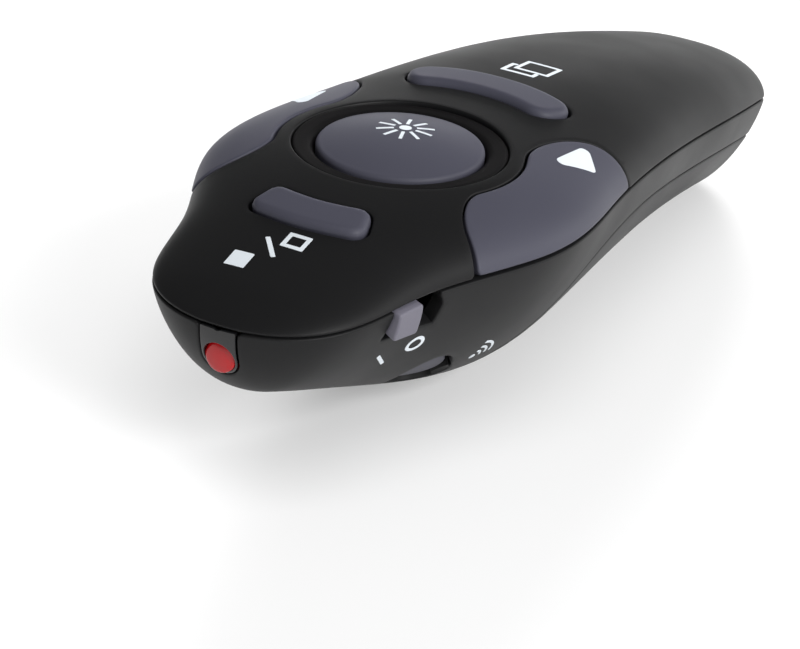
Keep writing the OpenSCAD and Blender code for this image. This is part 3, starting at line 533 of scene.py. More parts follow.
# %% [markdown]
# ## The two shells
# The upper shell is one moulding from the parting line over the crown, with
# bites for the page keys and the receiver, and holes for the ring and the
# two bar keys. The lower one has the openings of the nose insert, the slide,
# the receiver, the battery door and the connect button. Each opening's edge
# lies outside its piece by the real gap, plus the width of the rolled edge.

# %% Outlines of the keys
BUTTON_Y = -20.8


def band(s0, s1, p0, p1, c0, c1, c2, c3):
    """A rectangle with four rounded corners, each of its own radius."""
    return polygon([
        *bend_of(s1 - c3, p1 - c3, c3, 0, 90, 19), *bend_of(s0 + c2, p1 - c2, c2, 90, 180, 19),
        *bend_of(s0 + c0, p0 + c0, c0, 180, 270, 19), *bend_of(s1 - c1, p0 + c1, c1, 270, 360, 19)])


def around_button(points, reference, direction):
    angle = math.radians(direction) + points[:, 0] / reference
    return points_of(points[:, 1] * np.cos(angle), BUTTON_Y + points[:, 1] * np.sin(angle))


def bar_key(distance, wide, long, corner, grow):
    half = long / 2 + grow
    near, far = distance - wide / 2 - grow, distance + wide / 2 + grow
    return band(-half, half, near, far, *[corner + grow] * 4)


def anticlockwise(points):
    x, y = points.T
    return points if (x * np.roll(y, -1) - y * np.roll(x, -1)).sum() > 0 else points[::-1]


def screen_key_outline(grow):
    return anticlockwise(around_button(bar_key(17.65, 4.3, 11.9, 1.4, grow), 17.65, -90))


def window_key_outline(grow):
    return anticlockwise(around_button(bar_key(19.25, 5.2, 17.8, 2.2, grow), 19.25, 90))


def page_key_outline(grow, side):
    reach = 18
    arc = reach * math.pi / 180
    shape = band(-39 * arc - grow, 49 * arc + grow, 12.5 - grow, 24.4 + grow,
                 5 + grow, 7.4 + grow, 0.5, 4.5 + grow)
    return anticlockwise(around_button(shape, reach, 0) * (side, 1))


GAP = 0.25
print("window key reaches", round(float(window_key_outline(0)[:, 0].max()), 1), "mm to the side")

# %% The openings at both ends and on the flank
TILT = math.radians(-12.265)
BAY_Y, BAY_HALF, BAY_RISE = 44, 6.55, 2.8
LASER_Z = 14.3
INSERT_HALF = 1.9
NOSE_TIP = (-54.9999, -51)


def root(function, low, high, shape=200):
    """The places between low and high, for many at once, where a falling function passes zero."""
    low, high = np.full(shape, float(low)), np.full(shape, float(high))
    for _ in range(50):
        mid = (low + high) / 2
        over = function(mid) > 0
        low, high = np.where(over, mid, low), np.where(over, high, mid)
    return (low + high) / 2


def receiver_plane(y, level):
    return split_z(BAY_Y) + (y - BAY_Y) * math.tan(TILT) + level / math.cos(TILT)


def tail_notch(skin, half, level):
    x = np.linspace(-half, half, 200)
    y = root(lambda t: skin.side * (skin.height(x, t) - receiver_plane(t, level)), 46, HALF)
    side = np.linspace(y[-1], 55.3, 1500)
    return np.concatenate([points_of(x, y), points_of(half, side), points_of(-half, side[::-1])])


def nose_notch(skin, half):
    x = np.linspace(half, -half, 200)
    z = LASER_Z - np.sqrt(np.maximum(0, half**2 - x**2))
    y = root(lambda t: skin.height(x, t) - z, *NOSE_TIP)
    side = np.linspace(-55.3, y[0], 1500)
    return np.concatenate([points_of(half, side), points_of(x, y), points_of(-half, side[::-1])])


def flank_line(y, z):
    """How far to the side the lower shell's surface passes the height z."""
    share = np.clip((split_z(y) - z) / depth(y), 0, 1)
    return half_width(y) * (1 - share**1.3) ** (1 / 2.1)


SLOT_FRONT, SLOT_REAR, SLOT_DEEP = -43.4, -36.7, 3.7
SLOT_Z = (float(split_z(SLOT_FRONT)) + float(split_z(SLOT_REAR))) / 2
SLOT_LOW = SLOT_Z - SLOT_DEEP


def flank_window(front, rear, z, outside=14):
    y = np.linspace(rear, front, 200)
    x = flank_line(y, z)
    return np.concatenate([line((x[-1], front), (outside, front), 0.02),
                           line((outside, rear), (x[0], rear), 0.02), points_of(x, y)])


print("slot's middle level", round(SLOT_Z, 2))

# %% The door's outline, and the connect button's dish
DOOR_LEDGE = 4.6
# Where the door's edge starts to curve down, and how far that takes
DOOR_BEND, DOOR_RADIUS = 10, 32


def door_outline(lower):
    def edge(t):
        fall = np.maximum(0, DOOR_BEND - t) / DOOR_RADIUS
        return (split_z(t) - DOOR_LEDGE) * np.sqrt(np.maximum(0, 1 - fall ** 2))

    t = DOOR_BEND - DOOR_RADIUS * np.cos(np.radians(np.linspace(0, 90, 400)))
    curved = points_of(t + lower * (DOOR_BEND - t) / DOOR_RADIUS, edge(t) - lower)
    last = root(lambda y: depth(y) - DOOR_LEDGE - lower, 50, 54.99, 1)[0]
    t = DOOR_BEND + (last - DOOR_BEND) * np.sin(np.linspace(0, math.pi / 2, 1500)[1:])
    y, z = np.concatenate([curved, points_of(t, split_z(t) - DOOR_LEDGE - lower)]).T
    x = flank_line(y, z)
    front = line((-x[0], y[0]), (x[0], y[0]))
    return np.concatenate([front, points_of(x, y), points_of(-x, y)[::-1]])


CONNECT, CONNECT_HOLE = (8.4, -29.5), 3.25
DISH = np.array([11.0, -30.5, float(bottom_skin.height(*CONNECT)) - 4])
DISH_RADIUS = 6.0


def dish_outline(skin, grow):
    """Where a sphere meets the skin, found along rays from the connect button's centre."""
    count = 300
    seed = skin.coordinates(np.array([CONNECT]))[0]
    ray = circle(0, 0, 1, count)

    def room(t):
        away = skin.place(seed + ray * t[:, None])[0] - DISH
        return DISH_RADIUS + grow - np.linalg.norm(away, axis=1)

    far = root(room, 0, 11, count)
    return anticlockwise(skin.place(seed + ray * far[:, None])[0][:, :2])


def dish_opening(skin, grow):
    """The dish and the button's hole together, seen in plan."""
    out = dish_outline(skin, grow) - CONNECT
    reach = np.linalg.norm(out, axis=1, keepdims=True)
    return CONNECT + out / reach * np.maximum(reach, CONNECT_HOLE + grow)


print("dish width", np.round(np.ptp(dish_outline(bottom_skin, 0), axis=0), 1), "mm")

# %% Cutting the shells
RING_OUT = 10.6
MARGIN = SEAM / 2 + ROUND
shell_edge = parting
for side in (1, -1):
    shell_edge = bitten(shell_edge, page_key_outline(GAP + ROUND, side))
shell_edge = bitten(shell_edge, tail_notch(top_skin, BAY_HALF + ROUND, BAY_RISE + ROUND))
openings = [circle(0, BUTTON_Y, RING_OUT + SEAM / 2 + ROUND),
            screen_key_outline(GAP + ROUND), window_key_outline(GAP + ROUND)]
top_shell = moulding("top_shell_moulding", top_skin, shell_edge, openings)

belly_edge = bitten(edge_of(bottom_skin), nose_notch(bottom_skin, INSERT_HALF + SEAM / 2 + ROUND))
belly_edge = bitten(belly_edge, flank_window(
    SLOT_FRONT - ROUND, SLOT_REAR + ROUND, SLOT_LOW - ROUND))
belly_edge = bitten(belly_edge, tail_notch(bottom_skin, BAY_HALF + ROUND, -BAY_RISE - ROUND))
openings = [door_outline(-MARGIN), dish_opening(bottom_skin, ROUND)]
bottom_shell = moulding("bottom_shell_moulding", bottom_skin, belly_edge, openings)
door = moulding("battery_door_moulding", bottom_skin, door_outline(MARGIN), wall=1.4)

for piece, node, body in ((top_shell, "top_shell", "case"), (bottom_shell, "bottom_shell", "case"),
                          (door, "battery_door", "door")):
    dress(piece, soft_black, node, body)

# %% [markdown]
# ## Keys
# The two bar keys stand proud of the shell like small pillows, so their edges
# roll over by almost a millimetre. The page keys lie nearly flush and follow
# the body's side down to the parting line. All are cut from the same skin as
# the shell, raised by a little, which keeps their highlights in line with it.

# %% The four keys in the upper shell
PILLOW = 0.85
for name, outline in (("screen_key", screen_key_outline), ("window_key", window_key_outline)):
    key = moulding(name + "_cap", top_skin, outline(-PILLOW), raised=0.62,
                   rolled=(PILLOW, PILLOW), wall=2.0, step=0.3, spacing=0.5, rows=6)
    dress(key, key_slate, name, name)

PAGE_ROUND = 0.22
page_skin = Skin(1, 0.3 + PAGE_ROUND)
for name, side in (("right_page_key", 1), ("left_page_key", -1)):
    outline = overlap_of(edge_of(page_skin), page_key_outline(-PAGE_ROUND, side))
    key = moulding(name + "_cap", page_skin, outline, raised=0.1, wall=1.4, corner=0.2,
                   rolled=(PAGE_ROUND, PAGE_ROUND), step=0.35, spacing=0.7, rows=4)
    dress(key, key_slate, name, name)

# %% [markdown]
# ## Centre button and its ring
# Both are turned shapes, so they are made as on a lathe: a profile of radius
# and height is turned about the button's axis. The axis leans a little, since
# the shell rises towards the nose here. Spin would do the same, but writing
# the points gives a closed pole in the middle without any doubled ones.

# %% Turned pieces
LEAN = math.radians(1.928)
SEAT = 25.186


def turned(name, profile, place, count=128, ring=False):
    """A closed profile is turned into a ring; an open one starts and ends on the axis."""
    a = np.linspace(0, 2 * math.pi, count, endpoint=False)
    body = profile if ring else profile[1:-1]
    points = np.concatenate([[(r * math.cos(t), r * math.sin(t), z) for r, z in body] for t in a])
    n, faces = len(body), []
    for i in range(count):
        j = (i + 1) % count
        faces += [(i * n + k, j * n + k, j * n + (k + 1) % n, i * n + (k + 1) % n)
                  for k in range(n if ring else n - 1)]
    if not ring:
        points = np.concatenate([points, [(0, 0, profile[0][1]), (0, 0, profile[-1][1])]])
        low, high = n * count, n * count + 1
        faces += [(low, ((i + 1) % count) * n, i * n) for i in range(count)]
        faces += [(high, (i + 1) * n - 1, ((i + 1) % count + 1) * n - 1) for i in range(count)]
    return from_arrays(name, place(points), faces)


def at_button(points):
    x, y, z = np.asarray(points, float).T
    return np.stack([x, BUTTON_Y + y * math.cos(LEAN) - z * math.sin(LEAN),
                     SEAT + y * math.sin(LEAN) + z * math.cos(LEAN)], 1)


DOME, DOME_TOP = 30.0, 1.05


def dome_z(r):
    return DOME_TOP - DOME + np.sqrt(DOME**2 - np.asarray(r, float) ** 2)


ring_profile = [
    (8.43, -2.4), (8.43, -1.6), *bend_of(9.35, -1.15, 0.92, 175, 100, 8), (9.6, -0.235),
    (10.1, -0.2), *bend_of(10.3, -0.5, 0.3, 90, 0), (10.6, -2.15), (11.4, -2.15), (11.4, -2.9),
    (9.6, -2.9),
    (9.6, -2.5), (8.43, -2.5)]
ring = turned("button_ring_band", ring_profile, at_button, ring=True)
dress(ring, ring_rubber, "button_ring", "case")

FACE_EDGE = 7.75
face = [(r, float(dome_z(r))) for r in np.linspace(0, FACE_EDGE, 24)]
button_profile = [*face, *bend_of(7.78, face[-1][1] - 0.53, 0.52, 72, 0, 7),
                  (8.3, -2.75), (9.1, -2.75), (9.1, -3.2), (0, -3.2)]
button = turned("laser_button_cap", button_profile, at_button)
dress(button, key_slate, "laser_button", "laser_key")

# %% [markdown]
# ## Nose, slide and connect button
# The nose insert is a glossy upright plate around the lens. It is cut from
# the lower skin with the same outline as the shell's opening, so both stay
# flush. The slide's knob stands a little out of the flank. The
# connect button sits at the bottom of a dish, where it isn't pressed by
# accident.

# %% Nose insert and lens


def laser_hole(skin, radius):
    x, z = circle(0, LASER_Z, radius, 200).T
    return anticlockwise(points_of(x, root(lambda t: skin.height(x, t) - z, *NOSE_TIP)))


THIN = 0.07
insert_skin = Skin(-1, SEAM / 2 + THIN)
insert_outline = overlap_of(edge_of(insert_skin), nose_notch(insert_skin, INSERT_HALF - THIN))
insert = moulding("nose_insert_plate", insert_skin, insert_outline,
                  [laser_hole(insert_skin, 1.65 + THIN)],
                  rolled=(THIN, THIN), wall=1.5, corner=0.05, step=0.12, spacing=0.2)
dress(insert, polished_black, "nose_insert", "case")


def along_nose(points):
    x, y, z = np.asarray(points, float).T
    return np.stack([x, -z, LASER_Z + y], 1)


LENS_TIP = 54.3
lens_profile = [(0, LENS_TIP), *[(r, LENS_TIP - r * r / 9.0) for r in np.linspace(0.2, 1.4, 8)],
                *bend_of(1.42, 53.87, 0.18, 60, 0, 4), (1.6, 52.6), (0, 52.6)]
lens = turned("laser_lens_glass", lens_profile, along_nose, 64)
# Acrylic dyed ruby red, with a faint painted glow from a weak red emission
red_glass_painted_glow, tree = new_material("red_filter_glass_painted_glow")
shaded(tree, {"Base Color": linear("#a80007"), "Roughness": 0.12, "IOR": 1.49,
              "Transmission Weight": 0.25, "Emission Color": linear("#b00006"),
              "Emission Strength": 0.15})
dress(lens, red_glass_painted_glow, "laser_lens", "case")

# %% Slide knob, its plate, and the connect button
KNOB_ROUND = 0.22
knob_skin = Skin(-1, SEAM / 2 + 0.1 + KNOB_ROUND)
knob_outline = overlap_of(edge_of(knob_skin), flank_window(
    -43.3 + KNOB_ROUND, -40 - KNOB_ROUND, SLOT_LOW + 0.3 + KNOB_ROUND))
knob = moulding("slide_knob_grip", knob_skin, knob_outline, raised=0.4,
                rolled=(KNOB_ROUND, KNOB_ROUND), wall=2.3, step=0.15, spacing=0.3)
# The grip's face stands upright where the flank below it falls away
for vertex in knob.data.vertices:
    vertex.co.x += 0.2 * max(0.0, SLOT_Z * MM - vertex.co.z)
dress(knob, knob_acetal, "slide_knob", "power_slide")

plate_skin = Skin(-1, 2.7)
plate_outline = overlap_of(edge_of(plate_skin), flank_window(-44.6, -38.7, SLOT_Z - 4.9))
plate = moulding("slide_knob_plate", plate_skin, plate_outline, raised=-1.72, rolled=(0.05, 0.05),
                 wall=0.6, step=0.3, spacing=0.6)
plate.data.materials.append(plain_black)
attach(plate, "power_slide")

CONNECT_SUNK, CONNECT_RADIUS = 0.55, 2.55
connect = moulding("connect_button_cap", bottom_skin, circle(*CONNECT, CONNECT_RADIUS),
                   raised=-CONNECT_SUNK, rolled=(0.3, 0.3), wall=0.8, step=0.3, spacing=0.5, rows=4)
dress(connect, key_slate, "connect_button", "connect_key")

# %% The dish around the connect button
rim = dish_outline(bottom_skin, -0.1)
out = rim - CONNECT
room = np.linalg.norm(out, axis=1)
edge = np.column_stack([rim, bottom_skin.height(*rim.T)]) - DISH
turn = np.arctan2(out[:, 1], out[:, 0])
hole = np.array([CONNECT]) + CONNECT_HOLE * points_of(np.cos(turn), np.sin(turn)) - DISH[:2]
# The button's hole reaches past the dish on the inner side, so the dish is a crescent
crescent = (room - CONNECT_HOLE > 0.15) & ((hole**2).sum(1) < 0.98 * DISH_RADIUS**2)
edge, hole = (stretch_of(a, crescent) for a in (edge, hole))
hole = np.column_stack([hole, np.sqrt(DISH_RADIUS**2 - (hole**2).sum(1))])
edge *= DISH_RADIUS / np.linalg.norm(edge, axis=1, keepdims=True)
wide = np.arccos(np.clip((edge * hole).sum(1) / DISH_RADIUS**2, -1, 1))[:, None]
rows = [(np.sin((1 - t) * wide) * edge + np.sin(t * wide) * hole) / np.sin(wide)
        for t in np.linspace(0, 1, 10)]
rows.append(rows[-1] + (0, 0, 1.2))
rows += [rows[k] * 1.13 for k in (8, 4, 0)]
n, count = len(edge), len(rows)
points = np.concatenate(rows) + DISH
faces = [(k * n + i, (k + 1) % count * n + i, (k + 1) % count * n + i + 1, k * n + i + 1)
         for k in range(count) for i in range(n - 1)]
faces += [tuple(k * n + end for k in range(count)) for end in (0, n - 1)]
dish = from_arrays("connect_dish", points, faces)
dish.data.materials.append(soft_black)
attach(dish, "case")

# %% [markdown]
# ## Receiver
# The receiver's cap closes the tail. Its outer face is part of the body's
# surface on both sides of the parting line, so it is found as a height
# field: for each place across and up, how far back the body still reaches.
# A bevel modifier, applied at once, breaks its edges.

# %% The receiver's cap


def tail_reach(x, level):
    def still_inside(t):
        z = receiver_plane(t, level)
        r = np.minimum(1, np.abs(x) / np.maximum(half_width(t), 1e-6))
        high = split_z(t) + crown(t) * (1 - r**2.5) ** (1 / 1.9)
        low = split_z(t) - depth(t) * (1 - r**2.1) ** (1 / 1.3)
        return np.where(r < 1, np.minimum(high - z, z - low), -1)
    return root(still_inside, 46, 54.9999, np.shape(x))


CAP_HALF, CAP_RISE = 6.45, 2.7
PLUG_START, PLUG_LENGTH = 35.6, 11.5
nx, nz = 41, 21
gx, gl = np.meshgrid(np.linspace(-CAP_HALF, CAP_HALF, nx), np.linspace(-CAP_RISE, CAP_RISE, nz))
y = tail_reach(gx, gl) - 0.02
outer = np.stack([gx, y, receiver_plane(y, gl)], -1).reshape(-1, 3)
near = (PLUG_START - BAY_Y) / math.cos(TILT) + PLUG_LENGTH
front_y = BAY_Y + near * math.cos(TILT) - gl * math.sin(TILT)
front_z = split_z(BAY_Y) + near * math.sin(TILT) + gl * math.cos(TILT)
inner = np.stack([gx, front_y, front_z], -1).reshape(-1, 3)
at = lambda i, j: i * nx + j
border = ([at(0, j) for j in range(nx - 1)] + [at(i, nx - 1) for i in range(nz - 1)]
          + [at(nz - 1, j) for j in range(nx - 1, 0, -1)]
          + [at(i, 0) for i in range(nz - 1, 0, -1)])
faces = [(at(i, j), at(i, j + 1), at(i + 1, j + 1), at(i + 1, j))
         for i in range(nz - 1) for j in range(nx - 1)]
count = nx * nz
faces += [(a, b, b + count, a + count) for a, b in zip(border, border[1:] + border[:1])]
faces.append(tuple(b + count for b in border))
used = sorted({v for f in faces for v in f})
renumber = {v: k for k, v in enumerate(used)}
cap = from_arrays("receiver_cap_shell", np.concatenate([outer, inner])[used],
                  [tuple(renumber[v] for v in f) for f in faces], 50)
bevel = cap.modifiers.new("broken_edges", "BEVEL")
bevel.width, bevel.segments = 0.25 * MM, 3
bevel.limit_method, bevel.angle_limit = "ANGLE", math.radians(50)


def settled(piece):
    """The piece as its modifiers leave it, without them."""
    seen = piece.evaluated_get(bpy.context.evaluated_depsgraph_get())
    mesh = bpy.data.meshes.new_from_object(seen)
    piece.modifiers.clear()
    piece.data = mesh
    piece.data.materials.clear()
    return piece


dress(settled(cap), plain_black, "receiver_cap", "receiver")
print("receiver cap", len(cap.data.polygons), "faces")

# %% [markdown]
# ## Rules as Geometry Nodes
# What repeats or winds is made by a small tree of Geometry Nodes: the rays of
# the mark on the button, the springs and the screws. A tree has named inputs
# for its sizes and ends by making its instances real and setting the
# material. The result is then kept as a plain mesh, and the tree is let go.

# %% Helpers for Geometry Nodes


def new_rule(name, **inputs):
    """A tree with named inputs; each is given by its kind of socket."""
    tree = bpy.data.node_groups.new(name, "GeometryNodeTree")
    tree.interface.new_socket("Geometry", in_out="INPUT", socket_type="NodeSocketGeometry")
    tree.interface.new_socket("Geometry", in_out="OUTPUT", socket_type="NodeSocketGeometry")
    for label, kind in inputs.items():
        tree.interface.new_socket(label, in_out="INPUT", socket_type="NodeSocket" + kind)
    return tree, add(tree, "NodeGroupInput").outputs


def end_rule(tree, parts, material):
    joined = add(tree, "GeometryNodeJoinGeometry")
    for part in parts:
        tree.links.new(part, joined.inputs[0])
    real = add(tree, "GeometryNodeRealizeInstances", {}, {0: joined.outputs[0]})
    inked = add(tree, "GeometryNodeSetMaterial", {"Material": material},
                {"Geometry": real.outputs[0]})
    add(tree, "NodeGroupOutput", {}, {0: inked.outputs[0]})


def maths(tree, operation, *values):
    """A Math node's result; each value is a number or what another node gives."""
    numbers = {k: v for k, v in enumerate(values) if isinstance(v, float)}
    sources = {k: v for k, v in enumerate(values) if k not in numbers}
    return add(tree, "ShaderNodeMath", {"operation": operation, **numbers}, sources).outputs[0]


def wound_wire(tree, steps, sides, wire, turns, start, end, height):
    """A round section carried along a spiral."""
    spiral = add(tree, "GeometryNodeCurveSpiral", {"Resolution": steps},
                 {"Rotations": turns, "Start Radius": start, "End Radius": end, "Height": height})
    section = add(tree, "GeometryNodeCurvePrimitiveCircle", {"Resolution": sides}, {"Radius": wire})
    return add(tree, "GeometryNodeCurveToMesh", {"Fill Caps": True},
               {"Curve": spiral.outputs[0], "Profile Curve": section.outputs[0]}).outputs[0]


def follow(name, tree, points=((0, 0, 0),), **sizes):
    """Runs a tree on some points in mm. The sizes go in by their names, in metres or as counts."""
    mesh = bpy.data.meshes.new(name)
    mesh.from_pydata([tuple(c * MM for c in p) for p in points], [], [])
    piece = bpy.data.objects.new(name, mesh)
    modifier = piece.modifiers.new("rule", "NODES")
    modifier.node_group = tree
    for item in tree.interface.items_tree:
        if item.in_out == "INPUT" and item.name in sizes:
            modifier[item.identifier] = sizes[item.name]
    bpy.context.collection.objects.link(piece)
    return settled(piece)


print("rules run on", bpy.app.version_string)

# %% [markdown]
# ## Printed marks
# The marks are pad-printed: ink a few hundredths of a millimetre thick, with
# crisp edges, that follows the curved surface. Each is a very thin moulding
# of the same skin, so it bends with the key or shell below it. The marks are
# plain pictograms of what each key does, and the letters I and O at the ends
# of the slide.

# %% Ink on the shell and the keys


def printed(name, skin, outline, holes, body, height=0.0):
    mark = moulding(name, skin, anticlockwise(outline), [anticlockwise(h) for h in holes],
                    raised=height + 0.03, rolled=(0.02, 0.03), wall=0.06,
                    corner=0.04, step=0.12, spacing=0.35, rows=1)
    mark.data.materials.append(print_ink)
    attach(mark, body)
    return mark


def grown(corners, by):
    """A convex outline moved outwards by a distance, or inwards."""
    corners = anticlockwise(np.array(corners, float))
    side = np.roll(corners, -1, 0) - corners
    side /= np.linalg.norm(side, axis=1, keepdims=True)
    out = np.stack([side[:, 1], -side[:, 0]], 1)
    before = np.roll(out, 1, 0)
    return corners + by * (out + before) / (1 + (out * before).sum(1))[:, None]


def rounded(corners, radius):
    """A convex outline with arcs for corners."""
    core = grown(corners, -radius)
    arcs = []
    for i, c in enumerate(core):
        before, after = c - core[i - 1], core[(i + 1) % len(core)] - c
        start = math.atan2(-before[0], before[1])
        turn = math.atan2(before[0] * after[1] - before[1] * after[0], before @ after)
        arcs += [tuple(c + radius * np.array([math.cos(start + t), math.sin(start + t)]))
                 for t in np.linspace(0, turn, 10)]
    return arcs


print("helpers for ink ready")

# %% Pictograms on the shell and the page keys
INK_STEP = 0.03
for name, corners, stroke in (
        ("stop_mark", [(-3.6, -48.1), (-1.5, -48.1), (-1.5, -46.0), (-3.6, -46.0)], None),
        ("bar_mark", [(-1.95, -43.35), (-1.55, -43.15), (0.45, -45.55), (0.05, -45.75)], None),
        ("screen_mark", [(-0.1, -43.9), (2.3, -43.9), (2.3, -41.8), (-0.1, -41.8)], 0.42),
        ("rear_window_mark", [(-1.45, 7.4), (-2.15, 7.4), (-2.15, 4.5), (1.7, 4.5), (1.7, 5.75),
                              (1.28, 5.75),
                              (1.28, 4.92), (-1.73, 4.92), (-1.73, 6.98), (-1.45, 6.98)], None),
        ("front_window_mark", [(-1.3, 5.9), (2.65, 5.9), (2.65, 9.4), (-1.3, 9.4)], 0.4)):
    # With a stroke the outline is a frame; without one it is filled
    holes = [polygon(grown(corners, -stroke), INK_STEP)] if stroke else []
    printed(name, top_skin, polygon(corners, INK_STEP), holes, "case")
for body, corners in (("right_page_key", [(13.1, -13.9), (16.1, -10.1), (13.4, -6.7)]),
                      ("left_page_key", [(-13.8, -16.0), (-16.9, -12.4), (-14.4, -9.2)])):
    arrow = rounded(grown(corners, 0.12), 0.6)
    printed(body + "_mark", page_skin, polygon(arrow, INK_STEP), [], body, 0.1)

# %% I, O and the radio waves on the flank
slide_on = np.array([(9.94, -41.38), (9.32, -39.18)])
bar = np.array([0.13, 0.058])
upright = [slide_on[0] - bar, slide_on[0] + bar, slide_on[1] + bar, slide_on[1] - bar]
printed("slide_on_mark", bottom_skin, polygon(upright, INK_STEP), [], "case")


def bow(middle, along, across, radius, start, end):
    """An arc on the leaning flank; along and across are 1 mm directions on it, seen in plan."""
    t = np.radians(np.linspace(start, end, 60))[:, None]
    return middle + radius * (np.cos(t) * np.array(along) + np.sin(t) * np.array(across))


off = (np.array([11.469, -36.995]), (0.585, 0.543), (-0.124, 0.764))
printed("slide_off_mark", bottom_skin, bow(*off, 1.1, 0, 354), [bow(*off, 0.72, 0, 354)], "case")
pair = (np.array([11.95, -25.3]), (0.666, 0.258), (-0.284, 0.815))
printed("pair_dot_mark", bottom_skin, bow(*pair, 0.4, 0, 354), [], "case")
for number, (low, high) in enumerate(((0.9, 1.2), (1.7, 2.0), (2.5, 2.8))):
    wave = np.concatenate([bow(*pair, high, -42, 42), bow(*pair, low, 42, -42)])
    printed(f"pair_wave_mark_{number}", bottom_skin, polygon(wave, INK_STEP), [], "case")

# %% The burst on the centre button
# The rays stand on a circle about a dot; then the flat mark is laid on the button's dome
rays, size = new_rule("rays_about_a_dot", Rays="Int", Inner="Float", Outer="Float", Width="Float",
                      Thick="Float")
ray_length = maths(rays, "SUBTRACT", size["Outer"], size["Inner"])
halfway = maths(rays, "MULTIPLY", maths(rays, "ADD", size["Outer"], size["Inner"]), 0.5)
ray_size = add(rays, "ShaderNodeCombineXYZ", {},
               {0: ray_length, 1: size["Width"], 2: size["Thick"]})
ray = add(rays, "GeometryNodeMeshCube", {"Vertices X": 9, "Vertices Y": 3},
          {"Size": ray_size.outputs[0]})
on_circle = add(rays, "GeometryNodeMeshCircle", {}, {"Vertices": size["Rays"], "Radius": halfway})
spot = add(rays, "GeometryNodeInputPosition")
outwards = add(rays, "FunctionNodeAlignRotationToVector", {"axis": "X"},
               {"Vector": spot.outputs[0]})
stood = add(rays, "GeometryNodeInstanceOnPoints", {},
            {"Points": on_circle.outputs[0], "Instance": ray.outputs[0],
             "Rotation": outwards.outputs[0]})
dot = add(rays, "GeometryNodeMeshCylinder",
          {"Vertices": 32, "Fill Segments": 3, "Radius": 0.62 * MM},
          {"Depth": size["Thick"]})
end_rule(rays, (stood.outputs[0], dot.outputs[0]), print_ink)
burst = follow("laser_mark", rays, Rays=10, Inner=1.15 * MM, Outer=2.9 * MM, Width=0.34 * MM,
               Thick=0.05 * MM)
BURST_X, BURST_Y = -0.5, 1.8  # off the button's centre
laid = []
for vertex in burst.data.vertices:
    x, y, z = vertex.co / MM
    x, y = x + BURST_X, y + BURST_Y
    laid.append((x, y, dome_z(math.hypot(x, y)) + 0.01 + z))
for vertex, place in zip(burst.data.vertices, at_button(laid)):
    vertex.co = place * MM
burst.data.materials.append(print_ink)
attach(burst, "laser_key")

# %% [markdown]
# ## Finishes of the inner parts
# The parts inside show only through the gaps, and when the door or the
# receiver slides out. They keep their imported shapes. Each still gets its
# real finish: nickel-plated steel, brass, green solder mask over glass
# fibre, and moulded black plastic.

# %% Metals, board and the rest


def metal(name, colour, rough, scratch):
    """Fine scratches, this many mm apart, along the piece's length."""
    material, tree = new_material(name)
    spot = add(tree, "ShaderNodeTexCoord")
    drawn = add(tree, "ShaderNodeMapping", {"Scale": (1, 0.06, 1)},
                {"Vector": spot.outputs["Object"]})
    fine = add(tree, "ShaderNodeTexNoise", {"Scale": 1000 / scratch, "Detail": 3.0},
               {"Vector": drawn.outputs[0]})
    rub = add(tree, "ShaderNodeMapRange", {"To Min": rough - 0.08, "To Max": rough + 0.1},
              {"Value": fine.outputs["Fac"]})
    relief = add(tree, "ShaderNodeBump", {"Strength": 0.2, "Distance": 0.01 * MM},
                 {"Height": fine.outputs["Fac"]})
    shaded(tree, {"Base Color": linear(colour), "Metallic": 1.0},
           {"Roughness": rub.outputs["Result"], "Normal": relief.outputs["Normal"]})
    return material


# Nickel plate over spring steel or a stamped shield: a warm, half-bright grey
nickel = metal("nickel_plated_steel", "#b4b2ac", 0.3, 0.4)
# Turned brass, lightly dulled
brass = metal("turned_brass", "#c19a4b", 0.32, 0.3)

# Green lacquer over a woven laminate; the weave, 0.5 mm wide, just shows
solder_mask, tree = new_material("solder_mask_on_glass_fibre")
spot = add(tree, "ShaderNodeTexCoord")
weave = add(tree, "ShaderNodeTexBrick", {
    "Scale": 1.0, "Brick Width": 0.5 * MM, "Row Height": 0.25 * MM, "Mortar Size": 0.05 * MM,
    "Color1": linear("#1d5a38"), "Color2": linear("#1a5133"), "Mortar": linear("#164a2e")},
    {"Vector": spot.outputs["Object"]})
shaded(tree, {"Roughness": 0.35, "IOR": 1.5, "Coat Weight": 0.3},
       {"Base Color": weave.outputs["Color"]})

# Filled epoxy around the chip, and nylon in its natural white
chip_epoxy = moulded_plastic("black_epoxy_mould", "#1a1b1d", "#202124", 0.5, 0.12, 0.006)
lever_white = moulded_plastic("natural_nylon", "#dcdad2", "#e6e4dd", 0.45, 0.25, 0.008)

finishes = {
    nickel: ("key_switches", "slide_switch", "connect_switch", "battery_contacts", "crystal",
             "receiver_plug"),
    brass: ("laser_barrel",),
    solder_mask: ("main_board", "laser_board"),
    chip_epoxy: ("radio_chip", "laser_plunger", "screen_plunger", "window_plunger", "left_plunger",
                 "right_plunger", "connect_plunger"),
    lever_white: ("slide_lever", "receiver_tongue"),
    plain_black: ("battery_tray",),
}
for material, names in finishes.items():
    for name in names:
        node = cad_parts[name]
        node.data.materials.clear()
        node.data.materials.append(material)
print("inner parts finished:", sum(len(n) for n in finishes.values()))

# %% [markdown]
# ## Springs and screws
# Each cell presses on a cone of spring wire, and cross-headed screws hold the
# shells and the board. A spring is a circle carried along a spiral. A screw
# is a turned blank with a cross sunk in its head and a thread wound about its
# shaft, set once at each of its places.

